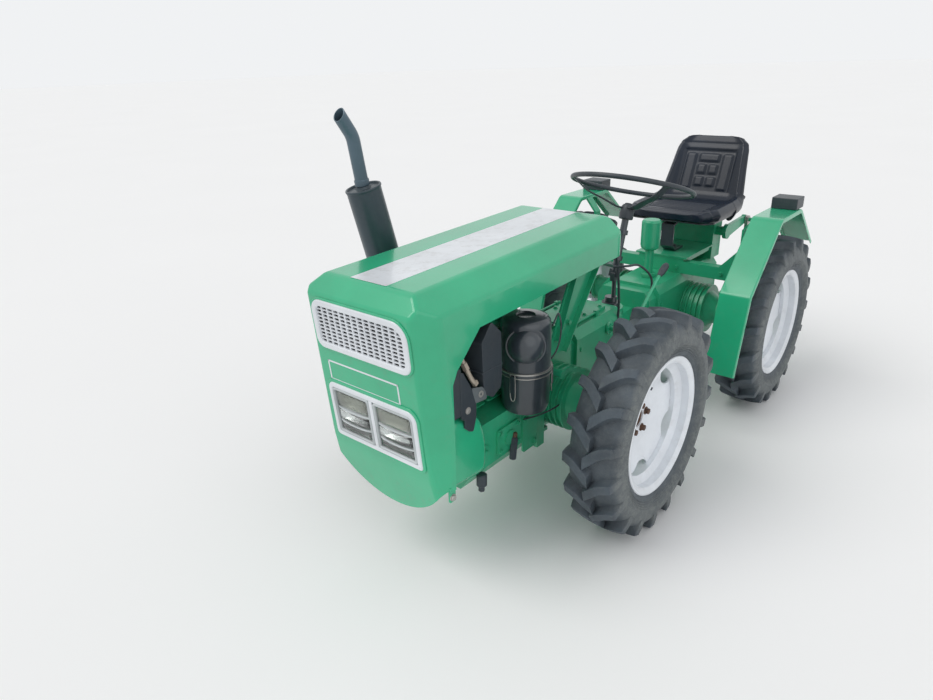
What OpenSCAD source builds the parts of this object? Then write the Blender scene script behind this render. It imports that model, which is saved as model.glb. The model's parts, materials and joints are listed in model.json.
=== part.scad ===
// Small four-wheel tractor with a hinged frame. The front half carries the engine,
// the rear half carries the seat, and a vertical pin between them steers the tractor.
// Millimetres, +Z up. The nose points to -Y and the tractor's left side is +X.
// Every piece is drawn from the front axle line (y = 0) and the floor (z = 0), then moved
// so that the middle of the whole length lies on the origin.

/* [Whole tractor] */
// Distance between the two axles
wheelbase = 1030; // [960:10:1120]
// Front axle to the front of the grille frame
nose_reach = 688; // [670:1:720]
// Distance between the middles of the left and right tyres
track = 843; // [820:1:900]
// Gap left where one fixed piece sits on another
seat_gap = 0.3; // [0.2:0.1:0.5]

/* [Wheels] */
// Tyre diameter over the lugs
tyre_d = 664; // [650:1:690]
// Tyre width
tyre_w = 165; // [150:1:175]
// Height of the lugs
lug_h = 24; // [15:1:28]
// Width of a lug
lug_t = 26; // [22:1:30]
// Number of lugs on each side of a tyre
lug_count = 19; // [17:1:21]
// Diameter of the rim where the tyre bead sits
bead_d = 380; // [370:1:390]
// Diameter over the rim flange
flange_d = 416; // [410:1:424]
// Rim width over the flanges
rim_w = 129; // [120:1:134]
// Thickness of the rim and disc steel
rim_t = 4.5; // [3.5:0.5:6]
// Depth of the disc's bolt face behind the outer flange
disc_depth = 80; // [70:1:90]
// Diameter of the hub
hub_d = 112; // [100:1:124]
// Number of wheel bolts
bolt_count = 5; // [4:1:6]
// Pitch circle of the wheel bolts
bolt_pcd = 86; // [80:1:88]
// Number of notches round the disc
notch_count = 5; // [4:1:6]
// Diameter of the notches
notch_d = 84; // [70:1:90]
// Diameter of the axle shafts
shaft_d = 40; // [34:1:44]
// Running clearance round a shaft
run_gap = 0.05; // [0.03:0.01:0.08]

/* [Hood] */
// Front axle to the rear edge of the hood
hood_rear = 207; // [190:1:230]
// Length of the nose, from the front of the grille frame back to its seam with the hood
nose_l = 101; // [95:1:115]
// Height of the hood's top at its rear edge
hood_z = 868; // [850:1:890]
// Nose-down tilt of the hood in degrees
hood_tilt = 1.77; // [0:0.1:3]
// Width of the hood
hood_w = 424; // [400:1:440]
// Width of the flat top
hood_flat_w = 308; // [280:1:330]
// Drop of the sloping edge beside the flat top
hood_edge_h = 50; // [40:1:60]
// Depth of the hood's side below its top
hood_side_h = 120; // [100:1:140]
// Thickness of the sheet metal
sheet_t = 3; // [2:0.5:4]

/* [Nose] */
// Forward lean of the front face in degrees
nose_lean = 5; // [2:0.5:8]
// Width of the front face
face_w = 356; // [330:1:380]
// Depth of the slanted corner beside the face
corner_depth = 60; // [50:1:66]
// Height where the brow meets the face
brow_z = 795; // [790:1:810]
// Front of the grille frame to the start of the brow
brow_l = 46; // [40:1:55]
// Height of the fold above the chin
fold_z = 380; // [360:1:384]
// Height of the chin's edge in the middle
chin_z = 236; // [226:1:250]
// Rise of the chin's edge from the middle to the corners of the face
chin_rise = 46; // [30:1:60]
// How far the chin tucks back from the fold
chin_tuck = 34; // [20:1:46]
// Height of the nose's lower edge at the seam
cheek_z = 319; // [300:1:340]

/* [Grille and lamps] */
// Width of the grille frame
grille_w = 314; // [290:1:330]
// Height of the grille's top edge
grille_top_z = 786; // [780:1:790]
// Height of the grille frame
grille_h = 134; // [120:1:140]
// Corner radius of the grille frame
grille_r = 30; // [20:1:36]
// How far the frames stand out from the face
frame_t = 7; // [4:1:8]
// Width of the frames' bands
frame_band = 13; // [10:1:16]
// Columns of the lattice
lattice_columns = 14; // [10:1:16]
// Rows of the lattice
lattice_rows = 10; // [8:1:12]
// Width of the lattice's upright bars
lattice_post = 7.5; // [6:0.5:9]
// Height of the lattice's level bars
lattice_bar = 4.6; // [4:0.2:6]
// Width of the lamp frame
lamp_frame_w = 318; // [300:1:330]
// Height of the lamp frame's top edge
lamp_top_z = 553; // [540:1:560]
// Height of the lamp frame
lamp_frame_h = 165; // [150:1:168]
// Corner radius of the lamp frame
lamp_frame_r = 16; // [10:1:24]

/* [Engine] */
// Width of the crankcase
crankcase_w = 290; // [260:1:300]
// Front axle to the rear face of the engine
engine_rear = 140; // [130:1:150]
// Length of the crankcase
crankcase_l = 330; // [300:1:340]
// Height of the crankcase's underside
crankcase_low_z = 222; // [210:1:250]
// Height of the crankcase's top
crankcase_top_z = 400; // [380:1:420]
// Width across the cylinders
cylinder_w = 170; // [160:1:180]
// Height of the cylinder heads' tops
cylinder_top_z = 770; // [740:1:790]
// Number of cooling fins on a cylinder
fin_count = 9; // [7:1:10]
// Diameter of the fan cowl
cowl_d = 330; // [300:1:350]

/* [Exhaust and air cleaner] */
// Diameter of the muffler
muffler_d = 98; // [80:1:104]
// Length of the muffler
muffler_l = 306; // [290:1:330]
// Outer diameter of the exhaust pipe
pipe_d = 37; // [30:1:42]
// Diameter of the air cleaner
cleaner_d = 142; // [130:1:150]
// Height of the air cleaner
cleaner_h = 272; // [250:1:280]
// Height of the air cleaner's underside
cleaner_low_z = 416; // [405:1:430]

/* [Driveline] */
// Width of the gearboxes
box_w = 220; // [200:1:240]
// Height of the gearboxes' undersides
box_low_z = 205; // [190:1:220]
// Height of the front gearbox's top
box_top_z = 492; // [470:1:500]
// Diameter of the brake drums
drum_d = 200; // [180:1:210]
// Diameter of the axle tubes
axle_tube_d = 96; // [80:1:110]
// Share of the wheelbase from the front axle to the steering pivot
pivot_share = 0.5; // [0.49:0.01:0.51]
// Diameter of the steering pivot pin
pivot_d = 44; // [36:1:50]

/* [Steering] */
// Diameter of the steering wheel at the middle of its rim
steer_d = 420; // [380:5:440]
// Thickness of the steering wheel's rim
steer_rim_t = 17; // [14:1:22]
// Height of the steering wheel's middle
steer_z = 890; // [880:1:930]
// Steering pivot to the steering wheel's middle
steer_back = 52; // [30:1:80]
// Steering wheel's middle to the tractor's middle plane
steer_x = 50; // [0:1:80]
// Lean of the steering column in degrees
steer_lean = 18; // [14:1:24]

/* [Rear half] */
// Width of the fenders
fender_w = 110; // [90:1:115]
// Tractor's middle plane to the fenders' inner edges
fender_in = 360; // [350:1:370]
// Thickness of the fender sheet
fender_t = 4; // [3:0.5:5]
// Height of the fenders' flat tops
fender_top_z = 752; // [740:1:770]
// Height of the seat platform
platform_z = 550; // [540:1:570]
// Height of the seat cushion's top
seat_z = 752; // [740:1:780]
// Width of the seat
seat_w = 400; // [360:1:420]
// Rear axle to the pivots of the lift arms and the lower links
lift_back = 250; // [240:1:270]
// Length of the lift arms
lift_arm_l = 200; // [180:1:210]
// Length of the lower links
link_l = 360; // [340:1:380]
// Diameter of the drawbar pin's hole
hitch_d = 26; // [20:1:30]
// Diameter of the power take-off shaft
pto_d = 35; // [30:1:40]

/* [Hidden] */
$fn = 64;

// Colours of the finishes
green = [0.13, 0.58, 0.38];
white = [0.88, 0.88, 0.92];
black = [0.07, 0.07, 0.08];
rubber = [0.16, 0.16, 0.17];
steel = [0.55, 0.55, 0.57];
soot = [0.16, 0.19, 0.24];

eps = 0.01;
cut = 400;
axle_z = tyre_d / 2;
wheel_x = track / 2;
lift_y = wheelbase + lift_back;
arm_rise = 5;
eye_r = 24;
tail_y = lift_y + link_l * cos(arm_rise) + eye_r;
shift_y = (nose_reach - tail_y) / 2;
pivot_y = wheelbase * pivot_share;
steer_y = pivot_y + steer_back;
hood_seam = nose_reach - nose_l;
brow_back = nose_reach - brow_l;

// Moves a piece from the front axle line to the tractor's own frame
module placed() {
    translate([0, shift_y, 0]) children();
}

// Draws a left piece and its mirror image on the right
module both_sides() {
    for (side = [0, 1]) mirror([side, 0, 0]) children();
}

function turn90(v) = [-v[1], v[0]];
function unit(v) = v / norm(v);

// Open line of points moved to its left by t, with mitred corners
function beside(p, t) = [
    for (i = [0 : len(p) - 1])
        let (
            before = i > 0 ? unit(p[i] - p[i - 1]) : unit(p[1] - p[0]),
            after = i < len(p) - 1 ? unit(p[i + 1] - p[i]) : before,
            a = turn90(before),
            b = turn90(after)
        )
        p[i] + t * (a + b) / (1 + a * b)
];

function reversed(p) = [for (i = [len(p) - 1 : -1 : 0]) p[i]];

// Flat strip of thickness t along a line of points
module strip(p, t) {
    polygon(concat(p, reversed(beside(p, t))));
}

// Rectangle with round corners, centred
module round_rect(w, h, r) {
    square([w - 2 * r, h], center = true);
    square([w, h - 2 * r], center = true);
    for (x = [-1, 1], y = [-1, 1]) translate([x * (w / 2 - r), y * (h / 2 - r)]) circle(r = r);
}

// Prism whose outline is given in y and z, reaching from x0 to x1
module side_prism(x0, x1) {
    translate([x0, 0, 0]) rotate([90, 0, 90]) linear_extrude(x1 - x0) children();
}

// Round bar between two points
module bar(a, b, d) {
    v = b - a;
    translate(a)
        rotate([0, acos(v[2] / norm(v)), atan2(v[1], v[0])])
            cylinder(d = d, h = norm(v));
}

// Quarter of a bend or less: it starts at the origin along z and bends towards -y by the angle.
// It is a touch thicker than the straight pipes that end 1 mm inside it.
module pipe_elbow(r, angle, d) {
    translate([0, -r, 0]) rotate([90, 0, 90]) rotate_extrude(angle = angle)
        translate([r, 0]) circle(d = d + 0.6, $fn = 32);
}

// Hexagon heads on washers at places in a plane; they stand along z
module bolt_heads(places, across) {
    for (q = places) translate(q) {
        translate([0, 0, -eps]) cylinder(d = across * 1.3, h = 2);
        cylinder(d = across, h = across * 0.55, $fn = 6);
    }
}

// Puts a piece on a face that looks along x: the piece's z runs outwards, its x along +y
module on_side(x, y, z, side = 1) {
    translate([x, y, z]) rotate([90, 0, 90 * side]) children();
}

// Bar along x, centred on the given x
module x_bar(x, y, z, d, l) {
    translate([x - l / 2, y, z]) rotate([0, 90, 0]) cylinder(d = d, h = l);
}

// Flat link in the y-z plane with two round eyes, from a to b, drilled where d > 0
module link(a, b, r1, r2, x0, x1, d1 = 0, d2 = 0) {
    v = unit(b - a);
    n = turn90(v);
    side_prism(x0, x1) difference() {
        union() {
            translate(a) circle(r = r1);
            translate(b) circle(r = r2);
            polygon([a + n * r1 * 0.8, b + n * r2 * 0.8, b - n * r2 * 0.8, a - n * r1 * 0.8]);
        }
        if (d1 > 0) translate(a) circle(d = d1);
        if (d2 > 0) translate(b) circle(d = d2);
    }
}

// Wheels
// The wheel's own frame has its axis along z, with the outer side at +z.

rim_half = rim_w / 2;
bead_r = bead_d / 2;
flange_r = flange_d / 2;
bolt_face_z = rim_half - disc_depth;
disc_back_z = bolt_face_z - rim_t;
hub_len = 62;
axle_end_x = wheel_x + disc_back_z - hub_len - 4;
drum_l = 90;

module at_wheel(side, y) {
    placed() translate([side * wheel_x, y, axle_z]) rotate([0, 90 * side, 0]) children();
}

// Radii and half widths from the bead up to the middle of the tread, without lugs
function carcass_line() =
    let (r = tyre_d / 2, w = tyre_w / 2)
    [
        [bead_r + seat_gap, rim_half - rim_t - seat_gap],
        [flange_r + seat_gap, rim_half - rim_t - seat_gap],
        [flange_r + 30, w - 3],
        [flange_r + 54, w - 1.5],
        [r - 56, w - 9],
        [r - 38, w - 26],
        [r - lug_h, w - 58]
    ];

// Stations of a lug from the middle of the tread over the shoulder:
// place along the wheel's axis, radius of the top, radius of the foot, shift round the tyre
function lug_line() =
    let (r = tyre_d / 2, w = tyre_w / 2)
    [
        [-7, r, r - lug_h - 8, 6],
        [w - 48, r - 0.5, r - lug_h - 14, -25],
        [w - 15, r - 7, r - lug_h - 38, -43],
        [w - 0.6, r - 30, r - lug_h - 46, -49]
    ];

// One lug: four points at each station, wider at the foot than at the top
module lug() {
    line = lug_line();
    last = 4 * (len(line) - 1);
    deg = 360 / (PI * tyre_d);
    polyhedron(
        points = [
            for (q = line, c = [[1, -1, 0], [1, 1, 0], [0, 1, 3], [0, -1, 3]])
                let (
                    radius = c[0] > 0 ? q[1] : q[2],
                    turn = (q[3] + c[1] * (lug_t / 2 + c[2])) * deg
                )
                [radius * cos(turn), radius * sin(turn), q[0]]
        ],
        faces = concat(
            [[0, 1, 2], [0, 2, 3], [last, last + 2, last + 1], [last, last + 3, last + 2]],
            [for (i = [0 : 4 : last - 4], k = [0 : 3]) [i + k, i + 4 + (k + 1) % 4, i + (k + 1) % 4]],
            [for (i = [0 : 4 : last - 4], k = [0 : 3]) [i + k, i + 4 + k, i + 4 + (k + 1) % 4]]
        )
    );
}

module lug_row() {
    for (k = [0 : lug_count - 1]) rotate(k * 360 / lug_count) lug();
}

// Tyre whose lugs point forwards on the left side of the tractor
module tyre() {
    half = carcass_line();
    color(rubber) {
        rotate_extrude() polygon(concat(half, [for (q = reversed(half)) [q[0], -q[1]]]));
        lug_row();
        rotate(180 / lug_count) mirror([0, 0, 1]) lug_row();
    }
}

// Line of the rim's outer skin from the outer flange to the inner one
function rim_line() = [
    [flange_r, rim_half],
    [flange_r, rim_half - rim_t],
    [bead_r, rim_half - rim_t],
    [bead_r, rim_half - 30],
    [bead_r - 22, rim_half - 42],
    [bead_r - 22, -rim_half + 42],
    [bead_r, -rim_half + 30],
    [bead_r, -rim_half + rim_t],
    [flange_r, -rim_half + rim_t],
    [flange_r, -rim_half],
    [bead_r - rim_t, -rim_half],
    [bead_r - rim_t, -rim_half + 32],
    [bead_r - 22 - rim_t, -rim_half + 44],
    [bead_r - 22 - rim_t, rim_half - 44],
    [bead_r - rim_t, rim_half - 32],
    [bead_r - rim_t, rim_half]
];

// Radius of the rim's well inside, where the disc is welded in
rim_in = bead_r - 22 - rim_t;
hub_hole_d = 54;

module disc_section() {
    polygon([
        [hub_hole_d / 2, disc_back_z],
        [hub_d / 2 + 12, disc_back_z],
        [rim_in - 38, disc_back_z + 16],
        [rim_in + eps, disc_back_z + 20],
        [rim_in + eps, bolt_face_z + 20],
        [rim_in - 40, bolt_face_z + 17],
        [hub_d / 2 + 10, bolt_face_z],
        [hub_hole_d / 2, bolt_face_z]
    ]);
}

// Dished disc with round notches along its edge, where it stays clear of the rim
module disc() {
    difference() {
        rotate_extrude() disc_section();
        for (k = [0 : notch_count - 1]) rotate(65 + k * 360 / notch_count)
            translate([rim_in + 15, 0, disc_back_z - 5]) cylinder(d = notch_d, h = 60);
    }
}

module wheel() {
    color(white) {
        rotate_extrude() polygon(rim_line());
        disc();
        for (k = [0 : bolt_count - 1]) rotate(30 + k * 360 / bolt_count)
            translate([bolt_pcd / 2, 0, bolt_face_z - eps]) cylinder(d = 20, h = 12, $fn = 6);
    }
    color(white) difference() {
        union() {
            translate([0, 0, disc_back_z - hub_len]) cylinder(d = hub_d * 0.72, h = hub_len);
            translate([0, 0, disc_back_z - 14]) cylinder(d = hub_d, h = 14 + eps);
            translate([0, 0, disc_back_z - eps]) cylinder(d = hub_hole_d + eps, h = 2);
        }
        translate([0, 0, disc_back_z - hub_len - 1])
            cylinder(d = shaft_d + 2 * run_gap, h = hub_len - 10);
    }
}

module wheel_front_left() at_wheel(1, 0) wheel();
module wheel_front_right() at_wheel(-1, 0) wheel();
module wheel_rear_left() at_wheel(1, wheelbase) wheel();
module wheel_rear_right() at_wheel(-1, wheelbase) wheel();
module tyre_front_left() at_wheel(1, 0) tyre();
module tyre_front_right() at_wheel(-1, 0) mirror([0, 1, 0]) tyre();
module tyre_rear_left() at_wheel(1, wheelbase) tyre();
module tyre_rear_right() at_wheel(-1, wheelbase) mirror([0, 1, 0]) tyre();

// Axle: finned brake drums beside the gearbox, tubes and the shafts that the wheels turn on
drum_fins = 5;

module axle(y) {
    start = box_w / 2 + seat_gap;
    fin_pitch = (drum_l - 6) / (drum_fins - 1);
    color(green) placed() translate([0, y, axle_z]) both_sides() rotate([0, 90, 0]) {
        translate([0, 0, start]) cylinder(d = drum_d - 22, h = drum_l);
        for (k = [0 : drum_fins - 1]) translate([0, 0, start + k * fin_pitch]) cylinder(d = drum_d, h = 6);
        translate([0, 0, start + drum_l - eps]) cylinder(d1 = drum_d * 0.75, d2 = axle_tube_d, h = 40);
        translate([0, 0, start + drum_l - eps]) cylinder(d = axle_tube_d, h = axle_end_x - start - drum_l);
        translate([0, 0, axle_end_x - 16]) cylinder(d = axle_tube_d + 16, h = 12);
        translate([0, 0, axle_end_x - 20]) cylinder(d = shaft_d, h = 20 + hub_len - 8);
    }
}

module front_axle() axle(0);
module rear_axle() axle(wheelbase);

// Hood and nose

// Height of the hood's top plane at a place along the tractor
function hood_top(y) = hood_z + (y - hood_rear) * tan(hood_tilt);

// Height of a seat just under the hood's flat top
function under_hood(y) = hood_top(y) - sheet_t / cos(hood_tilt) - seat_gap;

// Right half of the hood's section moved inwards by t, top first, down to the given depth
function hood_half(t, depth) =
    let (slope = atan2(hood_edge_h, (hood_w - hood_flat_w) / 2))
    [
        [hood_flat_w / 2 - t * tan(slope / 2), -t],
        [hood_w / 2 - t, -hood_edge_h - t * tan(45 - slope / 2)],
        [hood_w / 2 - t, -depth]
    ];

module hood_section(t, depth) {
    half = hood_half(t, depth);
    polygon(concat([for (q = reversed(half)) [-q[0], q[1]]], half));
}

// Prism of the hood's section from y0 to y1 along its tilted top
module hood_prism(t, depth, y0, y1) {
    translate([0, y0, hood_top(y0)])
        rotate([hood_tilt, 0, 0])
            rotate([90, 0, 0])
                translate([0, 0, -(y1 - y0) / cos(hood_tilt)])
                    linear_extrude((y1 - y0) / cos(hood_tilt)) hood_section(t, depth);
}

// Hood's solid moved inwards by t, with its sloping facet at the rear
rear_drop = 10;
rear_facet = 34;

module hood_block(t, depth, y0) {
    z = hood_top(hood_rear) - rear_drop - t;
    slope = (hood_top(hood_rear - rear_facet) - hood_top(hood_rear) + rear_drop) / rear_facet;
    intersection() {
        hood_prism(t, depth, y0, hood_rear - t);
        side_prism(-cut, cut) polygon([
            [y0 - 50, 0], [hood_rear + 50, 0], [hood_rear + 50, z - 50 * slope],
            [hood_rear - 150, z + 150 * slope], [y0 - 50, z + 150 * slope]
        ]);
    }
}

module hood() {
    color(green) placed() difference() {
        hood_block(0, hood_side_h, -hood_seam + seat_gap);
        hood_block(sheet_t, hood_side_h + 20, -hood_seam - 20);
    }
}

// Place of the front face at a height, along y
face_top_y = -nose_reach + frame_t / cos(nose_lean);
function face_y(z) = face_top_y + (grille_top_z - z) * tan(nose_lean);

// Line of the nose seen from its side, from the seam's top down to the chin
function nose_line() = [
    [-hood_seam, hood_top(-hood_seam)],
    [-brow_back, hood_top(-brow_back)],
    [face_y(brow_z), brow_z],
    [face_y(fold_z), fold_z],
    [face_y(fold_z) + chin_tuck, chin_z]
];

// Solid inside the nose's skin moved inwards by t; open is how far it runs out at the rear and below
module nose_block(t, open) {
    line = beside(nose_line(), t);
    last = len(line) - 1;
    down = unit(line[last] - line[last - 1]);
    back = unit(line[0] - line[1]);
    intersection() {
        side_prism(-cut, cut) polygon(concat(
            [line[0] + back * open],
            line,
            [line[last] + down * open, [-hood_seam + open, cheek_z - open]]
        ));
        translate([0, face_y(fold_z), fold_z]) rotate([nose_lean, 0, 0])
            translate([0, 0, -cut]) linear_extrude(3 * cut) polygon([
                [-face_w / 2 + t * 0.6, t],
                [face_w / 2 - t * 0.6, t],
                [hood_w / 2 - t, corner_depth],
                [hood_w / 2 - t, cut],
                [-hood_w / 2 + t, cut],
                [-hood_w / 2 + t, corner_depth]
            ]);
        hood_prism(t, 2 * cut, -nose_reach - 50, -hood_seam + open + 10);
        chin_prism(t);
    }
}

// Prism along y whose lower edge is the chin's arc, lowest in the middle
module chin_prism(t) {
    r = (pow(face_w / 2, 2) + pow(chin_rise, 2)) / (2 * chin_rise);
    translate([0, cut, 0]) rotate([90, 0, 0]) linear_extrude(4 * cut) {
        translate([0, chin_z + r - t]) circle(r = r, $fn = 128);
        translate([-cut, cheek_z - t]) square([2 * cut, 3 * cut]);
    }
}

// Puts a piece on the front face: the face is y = 0 there, and -y stands out of it
module on_face(z) {
    translate([0, face_y(z), z]) rotate([nose_lean, 0, 0]) children();
}

module nose_shell() {
    color(green) placed() difference() {
        nose_block(0, 0);
        nose_block(sheet_t, 40);
        on_face(grille_top_z - grille_h / 2)
            translate([0, 20, 0]) rotate([90, 0, 0])
                linear_extrude(40) round_rect(grille_w - 2 * frame_band, grille_h - 2 * frame_band, grille_r / 2);
        on_face(lamp_top_z - lamp_frame_h / 2)
            translate([0, 20, 0]) rotate([90, 0, 0])
                linear_extrude(40) square([lamp_frame_w - 2 * frame_band, lamp_frame_h - 2 * frame_band], center = true);
    }
}

// Frame that stands out of the face
module face_frame(w, h, r, inner_r) {
    translate([0, -seat_gap, 0]) rotate([90, 0, 0]) linear_extrude(frame_t - seat_gap) difference() {
        round_rect(w, h, r);
        round_rect(w - 2 * frame_band, h - 2 * frame_band, inner_r);
    }
}

module grille() {
    open_w = grille_w - 2 * frame_band;
    open_h = grille_h - 2 * frame_band;
    step_x = open_w / lattice_columns;
    step_z = open_h / lattice_rows;
    color(white) placed() on_face(grille_top_z - grille_h / 2) {
        face_frame(grille_w, grille_h, grille_r, grille_r / 2);
        translate([0, -seat_gap, 0]) rotate([90, 0, 0]) linear_extrude(3) difference() {
            square([open_w + 2, open_h + 2], center = true);
            for (i = [0 : lattice_columns - 1], j = [0 : lattice_rows - 1])
                translate([(i + 0.5) * step_x - open_w / 2, (j + 0.5) * step_z - open_h / 2])
                    square([step_x - lattice_post, step_z - lattice_bar], center = true);
        }
    }
}

module lamp_frame() {
    color(white) placed() on_face(lamp_top_z - lamp_frame_h / 2) {
        face_frame(lamp_frame_w, lamp_frame_h, lamp_frame_r, lamp_frame_r / 2);
        translate([0, -seat_gap - 2, 0]) cube([frame_band, 4, lamp_frame_h - 20], center = true);
    }
}

// Tiers of a headlamp's lens: middle and height as shares of the lamp's, and how far each stands out
lens_tiers = [[0.33, 0.28, 2], [0, 0.3, 3.5], [-0.34, 0.24, 1.2]];

module headlamps() {
    w = (lamp_frame_w - 3 * frame_band) / 2 - 2 * seat_gap;
    h = lamp_frame_h - 2 * frame_band - 2 * seat_gap;
    color(white) placed() on_face(lamp_top_z - lamp_frame_h / 2) both_sides()
        translate([frame_band / 2 + seat_gap + w / 2, 31, 0]) rotate([90, 0, 0]) {
            linear_extrude(32) round_rect(w, h, lamp_frame_r / 2);
            for (q = lens_tiers) translate([0, q[0] * h, 32 - eps])
                linear_extrude(q[2]) round_rect(w - 16, q[1] * h, 4);
        }
}

module side_panels() {
    s = -hood_seam;
    top = hood_top(s) - hood_side_h - seat_gap;
    top_rear = hood_top(s + 166) - hood_side_h - seat_gap;
    color(green) placed() both_sides() side_prism(hood_w / 2 - sheet_t, hood_w / 2) {
        polygon([
            [s + seat_gap, top], [s + 166, top_rear], [s + 27, 645], [s + 21, 480],
            [s + 117, 460], [s + 135, 410], [s + 131, 370], [s + 111, 330], [s + 67, 300],
            [s + seat_gap, cheek_z - 10]
        ]);
    }
}

// Engine: crankcase, two finned cylinders and their heads
// Fins, head and cover of one cylinder, drawn round its own middle from the crankcase upwards
module cylinder_unit(l) {
    fins_low = crankcase_top_z + 12;
    head_z = cylinder_top_z - 128;
    pitch = (head_z - fins_low - 4) / fin_count;
    translate([-cylinder_w / 2 + 16, -l / 2 + 10, crankcase_top_z - eps])
        cube([cylinder_w - 32, l - 20, head_z - crankcase_top_z + 1]);
    for (k = [0 : fin_count]) translate([0, 0, fins_low + k * pitch])
        linear_extrude(5) round_rect(cylinder_w, l, 12);
    translate([-cylinder_w / 2, -l / 2, head_z]) cube([cylinder_w, l, 76]);
    translate([0, 0, cylinder_top_z - 53]) linear_extrude(45) round_rect(cylinder_w - 30, l - 16, 16);
    translate([0, 0, cylinder_top_z - 9]) linear_extrude(9) round_rect(cylinder_w - 12, l - 6, 14);
}

module engine_block() {
    rear = -engine_rear;
    front = rear - crankcase_l;
    half = crankcase_w / 2;
    low = crankcase_low_z;
    top = crankcase_top_z;
    unit_l = crankcase_l / 2 - 25;
    color(green) placed() {
        translate([0, rear, 0]) rotate([90, 0, 0]) linear_extrude(crankcase_l) polygon([
            [-half, low + 40], [-half + 27, low], [half - 27, low], [half, low + 40],
            [half, top], [-half, top]
        ]);
        for (s = [-1, 1]) translate([0, (front + rear) / 2 + s * (unit_l / 2 + 5), 0])
            cylinder_unit(unit_l);
        // Bridge between the heads, and the pads that carry air cleaner and muffler
        translate([-cylinder_w / 2, (front + rear) / 2 - 8, cylinder_top_z - 128])
            cube([cylinder_w, 16, 76]);
        translate([0, cleaner_y - 34, cleaner_low_z + 54]) cube([cylinder_w / 2, 68, 132]);
        both_sides() side_details();
    }
}

// Covers, bosses and bolts on the crankcase's side
module side_details() {
    half = crankcase_w / 2;
    mid = -engine_rear - crankcase_l / 2;
    on_side(half - eps, mid + 14, crankcase_low_z + 94) {
        linear_extrude(7) round_rect(108, 80, 12);
        translate([0, 0, 7]) bolt_heads([[-42, -28, 0], [42, -28, 0], [42, 28, 0], [-42, 28, 0]], 13);
        translate([0, 0, 7 - eps]) cylinder(d = 44, h = 5);
    }
    on_side(half - eps, mid + 118, crankcase_low_z + 70) {
        linear_extrude(5) round_rect(72, 128, 10);
        translate([0, 0, 5]) bolt_heads([[-22, 46, 0], [22, -46, 0]], 15);
    }
    on_side(half - eps, mid - 104, crankcase_low_z + 80) {
        cylinder(d = 74, h = 6);
        translate([0, 0, 6 - eps]) cylinder(d = 48, h = 8);
    }
}

// Round cowl of the cooling fan at the front of the engine
module fan_cowl() {
    y = -engine_rear - crankcase_l - seat_gap;
    inlet_d = cowl_d * 0.56;
    color(green) placed() translate([0, y, crankcase_low_z + cowl_d / 2 + 30]) rotate([90, 0, 0]) {
        difference() {
            union() {
                cylinder(d = cowl_d, h = 46);
                translate([0, 0, 46 - eps]) cylinder(d1 = cowl_d, d2 = cowl_d * 0.7, h = 18);
            }
            translate([0, 0, 30]) cylinder(d = inlet_d, h = 60);
        }
        translate([0, 0, 29]) cylinder(d = inlet_d * 0.4, h = 28);
        for (k = [0 : 5]) rotate(k * 60) translate([inlet_d * 0.17, -4, 52])
            cube([inlet_d * 0.36, 8, 5]);
    }
}

module belt_guard() {
    x = cowl_d / 2 + 6;
    foot = crankcase_w / 2 + seat_gap;
    y = -engine_rear - crankcase_l;
    color(black) placed() {
        side_prism(x, x + 4) difference() {
            polygon([
                [y - 90, 640], [y - 70, 640], [y - 30, 470], [y + 30, 400], [y + 30, 370],
                [y - 35, 420], [y - 85, 560]
            ]);
            translate([y - 58, 520]) circle(d = 26);
        }
        side_prism(foot, x + eps)
            polygon([[y + 2, 397], [y + 30, 397], [y + 30, 370], [y + 2, 386]]);
    }
}

// Eight-sided section of the gear housings, grown by t
module box_section(low, top, t = 0) {
    w = box_w / 2 + t;
    polygon([
        [-w + 24, low - t], [w - 24, low - t], [w, low - t + 34], [w, top + t - 30],
        [w - 22, top + t], [-w + 22, top + t], [-w, top + t - 30], [-w, low - t + 34]
    ]);
}

cover_t = 12;
cover_z = box_top_z + cover_t;

module gearbox() {
    front = -engine_rear + seat_gap;
    rear = pivot_y - 85;
    joint_y = drum_d / 2 + 14;
    color(green) placed() {
        translate([-crankcase_w / 2, front, box_low_z])
            cube([crankcase_w, 36, box_top_z - box_low_z + 30]);
        translate([0, rear, 0]) rotate([90, 0, 0]) linear_extrude(rear - front)
            box_section(box_low_z, box_top_z);
        // Bolted joint behind the axle
        translate([0, joint_y + 16, 0]) rotate([90, 0, 0]) linear_extrude(16)
            box_section(box_low_z, box_top_z, 12);
        both_sides() for (z = [box_low_z + 60, box_low_z + 140, box_low_z + 220])
            on_side(box_w / 2 - eps, joint_y + 40, z) bolt_heads([[0, 0, 0]], 15);
        translate([-70, 140, box_top_z - eps]) cube([140, 240, cover_t + eps]);
        translate([0, 0, cover_z])
            bolt_heads([for (x = [-58, 58], y = [156, 260, 364]) [x, y, 0]], 13);
        // Ribs of the bell housing's flange
        both_sides() for (z = [box_low_z + 30, box_top_z - 20])
            translate([box_w / 2 - 10, front + 30, z]) cube([crankcase_w / 2 - box_w / 2, 40, 12]);
        pivot_ears();
    }
}

// Front half of the steering pivot: two ears and the pin through them
ear_r = 62;
ear_t = 26;
pivot_low_z = 236;
pivot_high_z = 452;

module pivot_ears() {
    for (z = [pivot_low_z, pivot_high_z - ear_t]) translate([0, 0, z]) linear_extrude(ear_t) {
        translate([0, pivot_y]) circle(r = ear_r);
        translate([-ear_r, pivot_y - 90]) square([2 * ear_r, 90]);
    }
    translate([0, pivot_y, pivot_low_z - 14]) cylinder(d = pivot_d, h = pivot_high_z - pivot_low_z + 28);
}

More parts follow.
